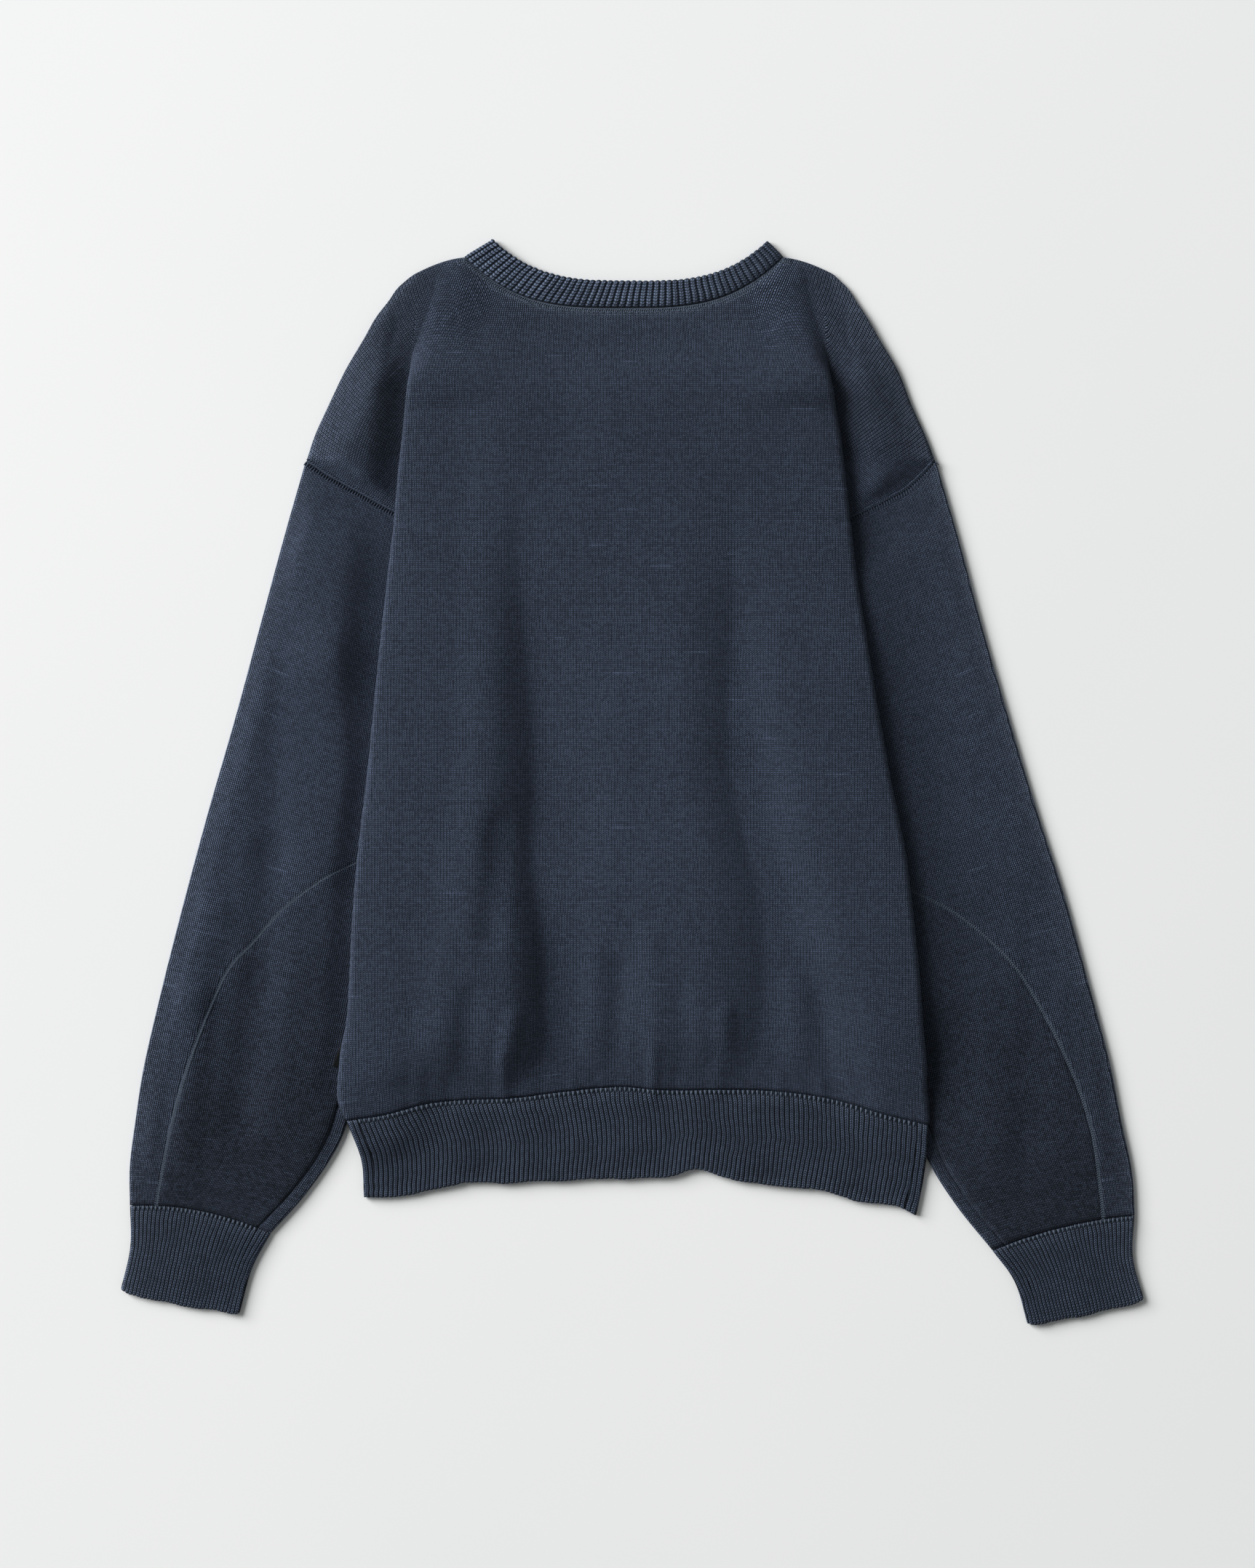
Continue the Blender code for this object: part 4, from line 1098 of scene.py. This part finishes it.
hem = dict(
    edge=(
        ("x", "y"),
        (-190, -291), (-152, -288), (-124, -281), (-86, -280), (-17, -277), (23, -276), (48, -271),
        (58, -274), (82, -280), (112, -283), (135, -286), (163, -294), (190, -298), (200, -304),
    ),
    sides=(("part", "left", "right"), (0.0, -199, 206), (0.5, -189, 204), (1.0, -187, 198)),
    wrap=7.0, cornerLift=2.7 * cloth["layer"], rows=25,
    pitch=3.3, height=0.45, perRib=7, ragged=0.75, depth=61.0, course=1.5,
)
hemEdgeLine = columns(hem["edge"])


def onHem(across, height, left, down):
    # places a section of the hem: across from its left edge, and down from the seam to the lower edge
    x = left + across
    y = hemSeam(x) * (1 - down) + through(x, hemEdgeLine["x"], hemEdgeLine["y"]) * down
    y = np.where(down == 0, y - cloth["seam"], y)
    corner = smooth((np.abs(x - 3) - 131) / 42)
    lift = hem["cornerLift"] * corner * near(hemSeam(x) - y - 16, 22)
    return np.stack((x, y, height + lift), axis=2)


def hemPieces():
    # Back: rows from the seam's line down to the edge's line, with |sin| ribs. Front: a flattened tube
    # beneath it, open above the back. Returns both and the points where the back's ribs start.
    table = curveRows(hem["sides"], hem["rows"])
    down, left, right = table[:, 0:1], table[:, 1:2], table[:, 2:3]
    width = right - left
    ribs = round((width[0, 0] - 2 * hem["wrap"]) / hem["pitch"])
    share = np.linspace(0, 1, ribs * hem["perRib"] + 1)
    gap = cloth["seam"] / 2
    across = hem["wrap"] + gap + (width - 2 * hem["wrap"] - 2 * gap) * share
    count = np.broadcast_to(share * ribs, across.shape)
    # ribs wave a little sideways; their crowns round off at the seam, where the gathers lift some
    waveSize = 0.35 * np.sin(count * 0.37 + 1.3) * np.sin(down * 4 + count * 0.11)
    waveSize += 3.5 * np.sin(np.pi * down) * np.exp(-across / 60) * smooth((across - hem["wrap"]) / 40)
    middle = onHem(across + waveSize, np.full(across.shape, level(1)), left, down)
    x, y = middle[..., 0], middle[..., 1]
    loft = (1.6 * ripple(x, y, 46, 21) + 1.2) * smooth(down * 6) * smooth((1 - down) * 5)
    loft = np.maximum(loft + 0.6 + softFolds(hemGathers, x, y), 0)
    middle[..., 2] += loft * near(np.abs(x - 3) - 128, 40)
    # its grooves are shallow above and open towards the lower edge
    rise = ribShape(count, hem["height"], 23) * (0.6 + 0.7 * smooth((down - 0.55) * 3))
    middle[..., 1] -= raggedEdge(count, hem["ragged"], 31) * smooth(down * 8 - 7)
    raised = rise * smooth(down * 22 + 0.25) * smooth((1 - down) * 18 + 0.3) - 0.3 * near(down, 1 / 24)
    courses = down * hem["depth"] / hem["course"]
    uv = np.stack(np.broadcast_arrays(count, courses), axis=2)
    # paler at the seam and the free edge: partly wear, partly a painted highlight
    worn = 0.3 * np.exp(-(1 - down) * 61 / 4) + 0.7 * np.exp(-down * 61 / 3)
    backRib = clothWall("backHemRib", middle, uv, ribKnit, -1, raised, worn=worn)
    tips = middle[0, 3::hem["perRib"]]

    lowRibs = round(width[0, 0] / hem["pitch"])
    across, height = ringSection(width, hem["wrap"], width - hem["wrap"], (12, 10, lowRibs * 4, 12))
    middle = onHem(across, np.array(height), left, down)
    count = (across - hem["wrap"]) / (width - 2 * hem["wrap"]) * ribs
    middle[..., 1] -= raggedEdge(count, hem["ragged"], 31) * smooth(down * 8 - 7)
    count = across / width * lowRibs
    rise = ribShape(count, hem["height"], 29) * smooth((1 - down) * 18 + 0.3)
    top = height > level(0) + 0.01
    raised = np.where(top, rise * 0.7, rise * 0.5 - hem["height"] * 0.5)
    uv = np.stack(np.broadcast_arrays(count, courses), axis=2)
    frontRib = clothWall("frontHemRib", middle, uv, ribKnit, 1, raised, worn=worn)
    return backRib, frontRib, tips


backHem, frontHem, hemTips = hemPieces()
print("hem:", faceCount(backHem, frontHem), "faces")


# Neck rib: one closed ring, its back over its front

neck = dict(
    outerEnds=((-117.0, 368.0), (105.0, 368.0)), innerEnds=((-97.0, 380.0), (94.0, 379.0)),
    backDepths=(35.0, 28.0), frontDepths=(104.0, 92.0), rows=38,
    pitch=4.65, height=0.9, bead=1.8, beadHeight=0.45, perRib=12, scallop=1.0, depth=17.0,
)


def neckPiece():
    # a closed ring: its two lines run from end to end and sag by depth * (1 - reach^power), back and front
    share = np.linspace(0, 1, neck["rows"])[:, None]
    (x1, y1), (x2, y2) = neck["outerEnds"]
    (x3, y3), (x4, y4) = neck["innerEnds"]
    left, right = x1 + (x3 - x1) * share, x2 + (x4 - x2) * share
    leftY, rightY = y1 + (y3 - y1) * share, y2 + (y4 - y2) * share
    width = right - left
    radius = cloth["layer"] / 2
    backRibs = round(1.04 * width[0, 0] / neck["pitch"])
    lowSteps, turnSteps = 150, 8
    angle = np.linspace(0, np.pi, turnSteps + 1)
    ones = np.ones_like(width)
    upper = radius + (width - 2 * radius) * np.linspace(0, 1, backRibs * neck["perRib"] + 1)[:-1]
    lower = width - radius + (2 * radius - width) * np.linspace(0, 1, lowSteps + 1)[1:-1]
    across = np.concatenate((upper, width - radius + radius * np.sin(angle), lower,
                             ones * (radius - radius * np.sin(angle)[:-1])), axis=1)
    height = np.concatenate((np.full(upper.shape[1], level(1)), level(0) + radius + radius * np.cos(angle),
                             np.full(lowSteps - 1, level(0)),
                             level(0) + radius - radius * np.cos(angle)[:-1]))
    isBack = height > level(0) + radius
    depths = [a + (b - a) * share for a, b in (neck["backDepths"], neck["frontDepths"])]
    reach = np.minimum(np.abs(2 * across / width - 1), 1.0)
    line = leftY + (rightY - leftY) * across / width
    y = line - np.where(isBack, depths[0], depths[1]) * (1 - reach ** body["neckPower"])
    x = left + across
    # ribs are evenly spaced along the seam's curve
    seamLine = np.stack((x[0], y[0]), axis=1)[:upper.shape[1]]
    seamLine = np.concatenate((seamLine, [[right[0, 0], rightY[0, 0]]]))
    arc = runningLength(seamLine)
    count = np.concatenate((backRibs * arc[:-1] / arc[-1], backRibs + np.linspace(0, 3, turnSteps + 1),
                            backRibs + 3 + np.linspace(0, 50, lowSteps + 1)[1:-1],
                            backRibs + 53 + np.linspace(0, 3, turnSteps + 1)[:-1]))
    rib = np.broadcast_to(ribShape(count, 1.0, 31, 1.0), x.shape)
    ends = smooth(share * 8 + 0.1) * smooth((1 - share) * 12 + 0.4)
    beads = share * neck["depth"] / neck["bead"]
    bead = neck["beadHeight"] * np.cos(2 * np.pi * beads)
    raised = np.where(isBack, rib * (neck["height"] + bead) * ends - 0.5 * near(share, 0.1), 0.0)
    middle = np.stack((x, y + neck["scallop"] * (rib - 0.6) * smooth((share - 0.8) * 5) * isBack,
                       np.broadcast_to(height, x.shape) + 0.5 * smooth(share * 3) * isBack), axis=2)
    total = np.concatenate((count, [backRibs + 56.0]))
    uv = np.stack(np.broadcast_arrays(total[None], beads), axis=2)
    # rib crowns paler: partly wear, partly a painted highlight
    worn = (0.5 + 0.3 * smooth((share - 0.7) * 3)) * np.minimum(rib, 1.0) ** 2
    return clothWall("neckRib", middle, uv, neckKnit, 1, raised, closed=True, worn=worn)


collar = neckPiece()
print("neck:", faceCount(collar), "faces")


# Sewing

sewing = dict(
    linkingWidth=4.4, linkingStep=1.55, linkingYarn=0.85,
    armholeStep=1.9, armholeBar=3.8, lipWidth=2.3, lipHeight=1.3,
    elbowWidth=3.0, elbowStep=1.6, elbowBar=2.0,
)


def neckLinking():
    # a band of slanting loops just below the neck seam, and a chain along its lower edge
    top = backMiddle[0]
    ends = body["neckEnds"]
    path = top[(top[:, 0] > ends[0] - 6) & (top[:, 0] < ends[1] + 6)].copy()
    path[:, 2] += cloth["wall"] / 2 + body["edgeRoll"] * 0.6
    path = evenly(path, 1.5)
    wide, step, yarn = sewing["linkingWidth"], sewing["linkingStep"], sewing["linkingYarn"]
    parts = [
        bandOn(path, -wide * 0.42, -1.0, wide * 1.1, 1.5),
        barsOn(path, step, -wide * 0.3, -0.3, 2.4, 35, yarn, 41),
        barsOn(path, step, -wide * 0.6, 0.0, 2.4, -35, yarn, 42),
        barsOn(path, step, -wide * 0.95, -0.1, 1.9, 62, yarn * 1.1, 43),
    ]
    return joined("neckLinking", parts, linkingYarn)


def armholeSeam(name, side):
    # the shoulder's rolled edge along the armhole, with a ladder of short bars down onto the sleeve
    rows = (backRows <= 225.01) & (backRows >= body["underarm"] - 0.01)
    path = backMiddle[rows, 0 if side < 0 else -1].copy()
    path = path[::-side]
    path[:, 2] = level(1) + cloth["wall"] / 2
    path = evenly(path, 1.2)
    parts = [
        bandOn(path, sewing["lipWidth"] / 2, -0.5, sewing["lipWidth"], sewing["lipHeight"]),
        barsOn(path, sewing["armholeStep"], sewing["lipWidth"] * 0.7, -0.1, 2.0, 65, 1.0, 53 + side),
        barsOn(path, sewing["armholeStep"], -1.6, -0.3, sewing["armholeBar"], 0, 0.9, 51 + side),
    ]
    return joined(name, parts, seamYarn)


def elbowSeam(name, path, side):
    # flat seam of two rows of leaning bars over a low band
    path = evenly(path, 1.5)
    parts = [
        bandOn(path, 0.0, 0.0, sewing["elbowWidth"], 0.7),
        barsOn(path, sewing["elbowStep"], 0.75, 0.3, sewing["elbowBar"], 28 * side, 0.7, 61 + side),
        barsOn(path, sewing["elbowStep"], -0.75, 0.3, sewing["elbowBar"], -28 * side, 0.7, 65 + side),
    ]
    return joined(name, parts, linkingYarn)


def ribTips(name, points, length, width, seed):
    # the first stitch of each rib, which stands up where the rib is linked on
    points = points[np.argsort(points[:, 0])] + (0, 0, cloth["wall"] / 2)
    return joined(name, [barsOn(points, 0, -length * 0.4, 0.35, length, 0, width, seed)], linkingYarn)


linking = neckLinking()
hemLoops = ribTips("hemLinking", hemTips, 3.0, 1.9, 71)
leftLoops = ribTips("leftCuffLinking", leftTips, 2.8, 1.8, 72)
rightLoops = ribTips("rightCuffLinking", rightTips, 2.8, 1.8, 73)
leftArmhole, rightArmhole = armholeSeam("leftArmholeSeam", -1), armholeSeam("rightArmholeSeam", 1)
leftElbow, rightElbow = elbowSeam("leftElbowSeam", leftArc, -1), elbowSeam("rightElbowSeam", rightArc, 1)
print("sewing:", faceCount(linking, hemLoops, leftLoops, rightLoops, leftArmhole, rightArmhole,
                           leftElbow, rightElbow), "faces")


# Label: a bare folded tape in the left side seam

label = dict(length=26.0, width=12.0, thick=0.8, bow=0.25, centre=(-199.5, -188.3), turn=-22.6)


def labelPiece():
    # a flat strip that bows up a little along its length, turned in its plane
    along, across = np.meshgrid(np.linspace(-0.5, 0.5, 21), np.linspace(-0.5, 0.5, 11), indexing="ij")
    turn = np.radians(label["turn"])
    dx, dy = across * label["width"], along * label["length"]
    x = label["centre"][0] + dx * np.cos(turn) - dy * np.sin(turn)
    y = label["centre"][1] + dx * np.sin(turn) + dy * np.cos(turn)
    z = level(1) + (cloth["wall"] + label["thick"]) / 2 + cloth["seam"] + label["bow"] * (1 - 4 * along ** 2)
    return clothWall("sideLabel", np.stack((x, y, z), axis=2), None, labelTape, thick=label["thick"])


tab = labelPiece()


# What each piece stands for, its finish, and the size that its cloth was cut to, in metres

cuts = (
    (back, "back_panel", "body_knit", (0.60, 0.60), 0.254, ["frontPanel"],
     [linking, leftArmhole, rightArmhole]),
    (front, "front_panel", "body_knit", (0.60, 0.60), 0.237, ["leftSleeve", "rightSleeve"], []),
    (leftMain, "sleeve_left_main", "body_knit", (0.26, 0.52), 0.114, [], [leftElbow]),
    (rightMain, "sleeve_right_main", "body_knit", (0.26, 0.52), 0.114, [], [rightElbow]),
    (leftForearm, "sleeve_left_forearm", "body_knit", (0.12, 0.30), 0.024, [], []),
    (rightForearm, "sleeve_right_forearm", "body_knit", (0.12, 0.30), 0.024, [], []),
    (collar, "neck_rib", "rib_knit", (0.50, 0.026), 0.0105, [], []),
    (leftCuff, "cuff_left", "rib_knit", (0.20, 0.063), 0.012, [], [leftLoops]),
    (rightCuff, "cuff_right", "rib_knit", (0.20, 0.063), 0.012, [], [rightLoops]),
    (backHem, "hem_rib_back", "rib_knit", (0.40, 0.066), 0.025, ["frontHemRib"], [hemLoops]),
    (frontHem, "hem_rib_front", "rib_knit", (0.42, 0.066), 0.026, [], []),
    (tab, "side_label", "label_tape", (0.012, 0.026), None, ["leftSleeve"], []),
)
for piece, node, slot, flat, area, under, sewn in cuts:
    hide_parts(node)


# Stage: a pale board, a big soft light from the upper left, and a camera straight above

studio = dict(
    centre=(-3.3, -0.8), height=3000.0, tall=1099.56, boardHalf=2500.0,
    lamp=(-10.4, 5.8, 7.1), lampSize=9.0, lampPower=3050.0,
    sky="#fafefe", skyStrength=0.29,
    gamma=0.8,      # the photograph's dark tones are deeper than those of a plain sRGB picture
)


def stageAndLight():
    # the lamp faces the origin; focal length = sensor height * camera height / height of what is seen
    half = studio["boardHalf"] * mm
    mesh = bpy.data.meshes.new("board")
    mesh.from_pydata([(-half, -half, -0.0002), (half, -half, -0.0002), (half, half, -0.0002),
                      (-half, half, -0.0002)], [], [(0, 1, 2, 3)])
    mesh.materials.append(board)
    floor = bpy.data.objects.new("board", mesh)
    bpy.context.scene.collection.objects.link(floor)
    floor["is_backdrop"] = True
    light = bpy.data.lights.new("lamp", "AREA")
    light.size, light.energy = studio["lampSize"], studio["lampPower"]
    lamp = bpy.data.objects.new("lamp", light)
    x, y, z = lamp.location = studio["lamp"]
    lamp.rotation_euler = (np.arctan2(np.hypot(x, y), z), 0, np.arctan2(y, x) + np.pi / 2)
    bpy.context.scene.collection.objects.link(lamp)
    world = bpy.data.worlds.new("softbox")
    world.use_nodes = True
    world.node_tree.nodes["Background"].inputs["Color"].default_value = linear(studio["sky"])
    world.node_tree.nodes["Background"].inputs["Strength"].default_value = studio["skyStrength"]
    bpy.context.scene.world = world
    lens = bpy.data.cameras.new("above")
    lens.sensor_fit, lens.sensor_height = "VERTICAL", 36.0
    lens.lens = 36.0 * studio["height"] / studio["tall"]
    camera = bpy.data.objects.new("above", lens)
    camera.location = (studio["centre"][0] * mm, studio["centre"][1] * mm, studio["height"] * mm)
    bpy.context.scene.collection.objects.link(camera)
    bpy.context.scene.camera = camera
    bpy.context.scene.view_settings.view_transform = "Standard"
    bpy.context.scene.view_settings.gamma = studio["gamma"]


stageAndLight()
shown = [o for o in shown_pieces() if not o.hide_render]
print("pieces:", len(shown), "with", faceCount(*shown), "faces")
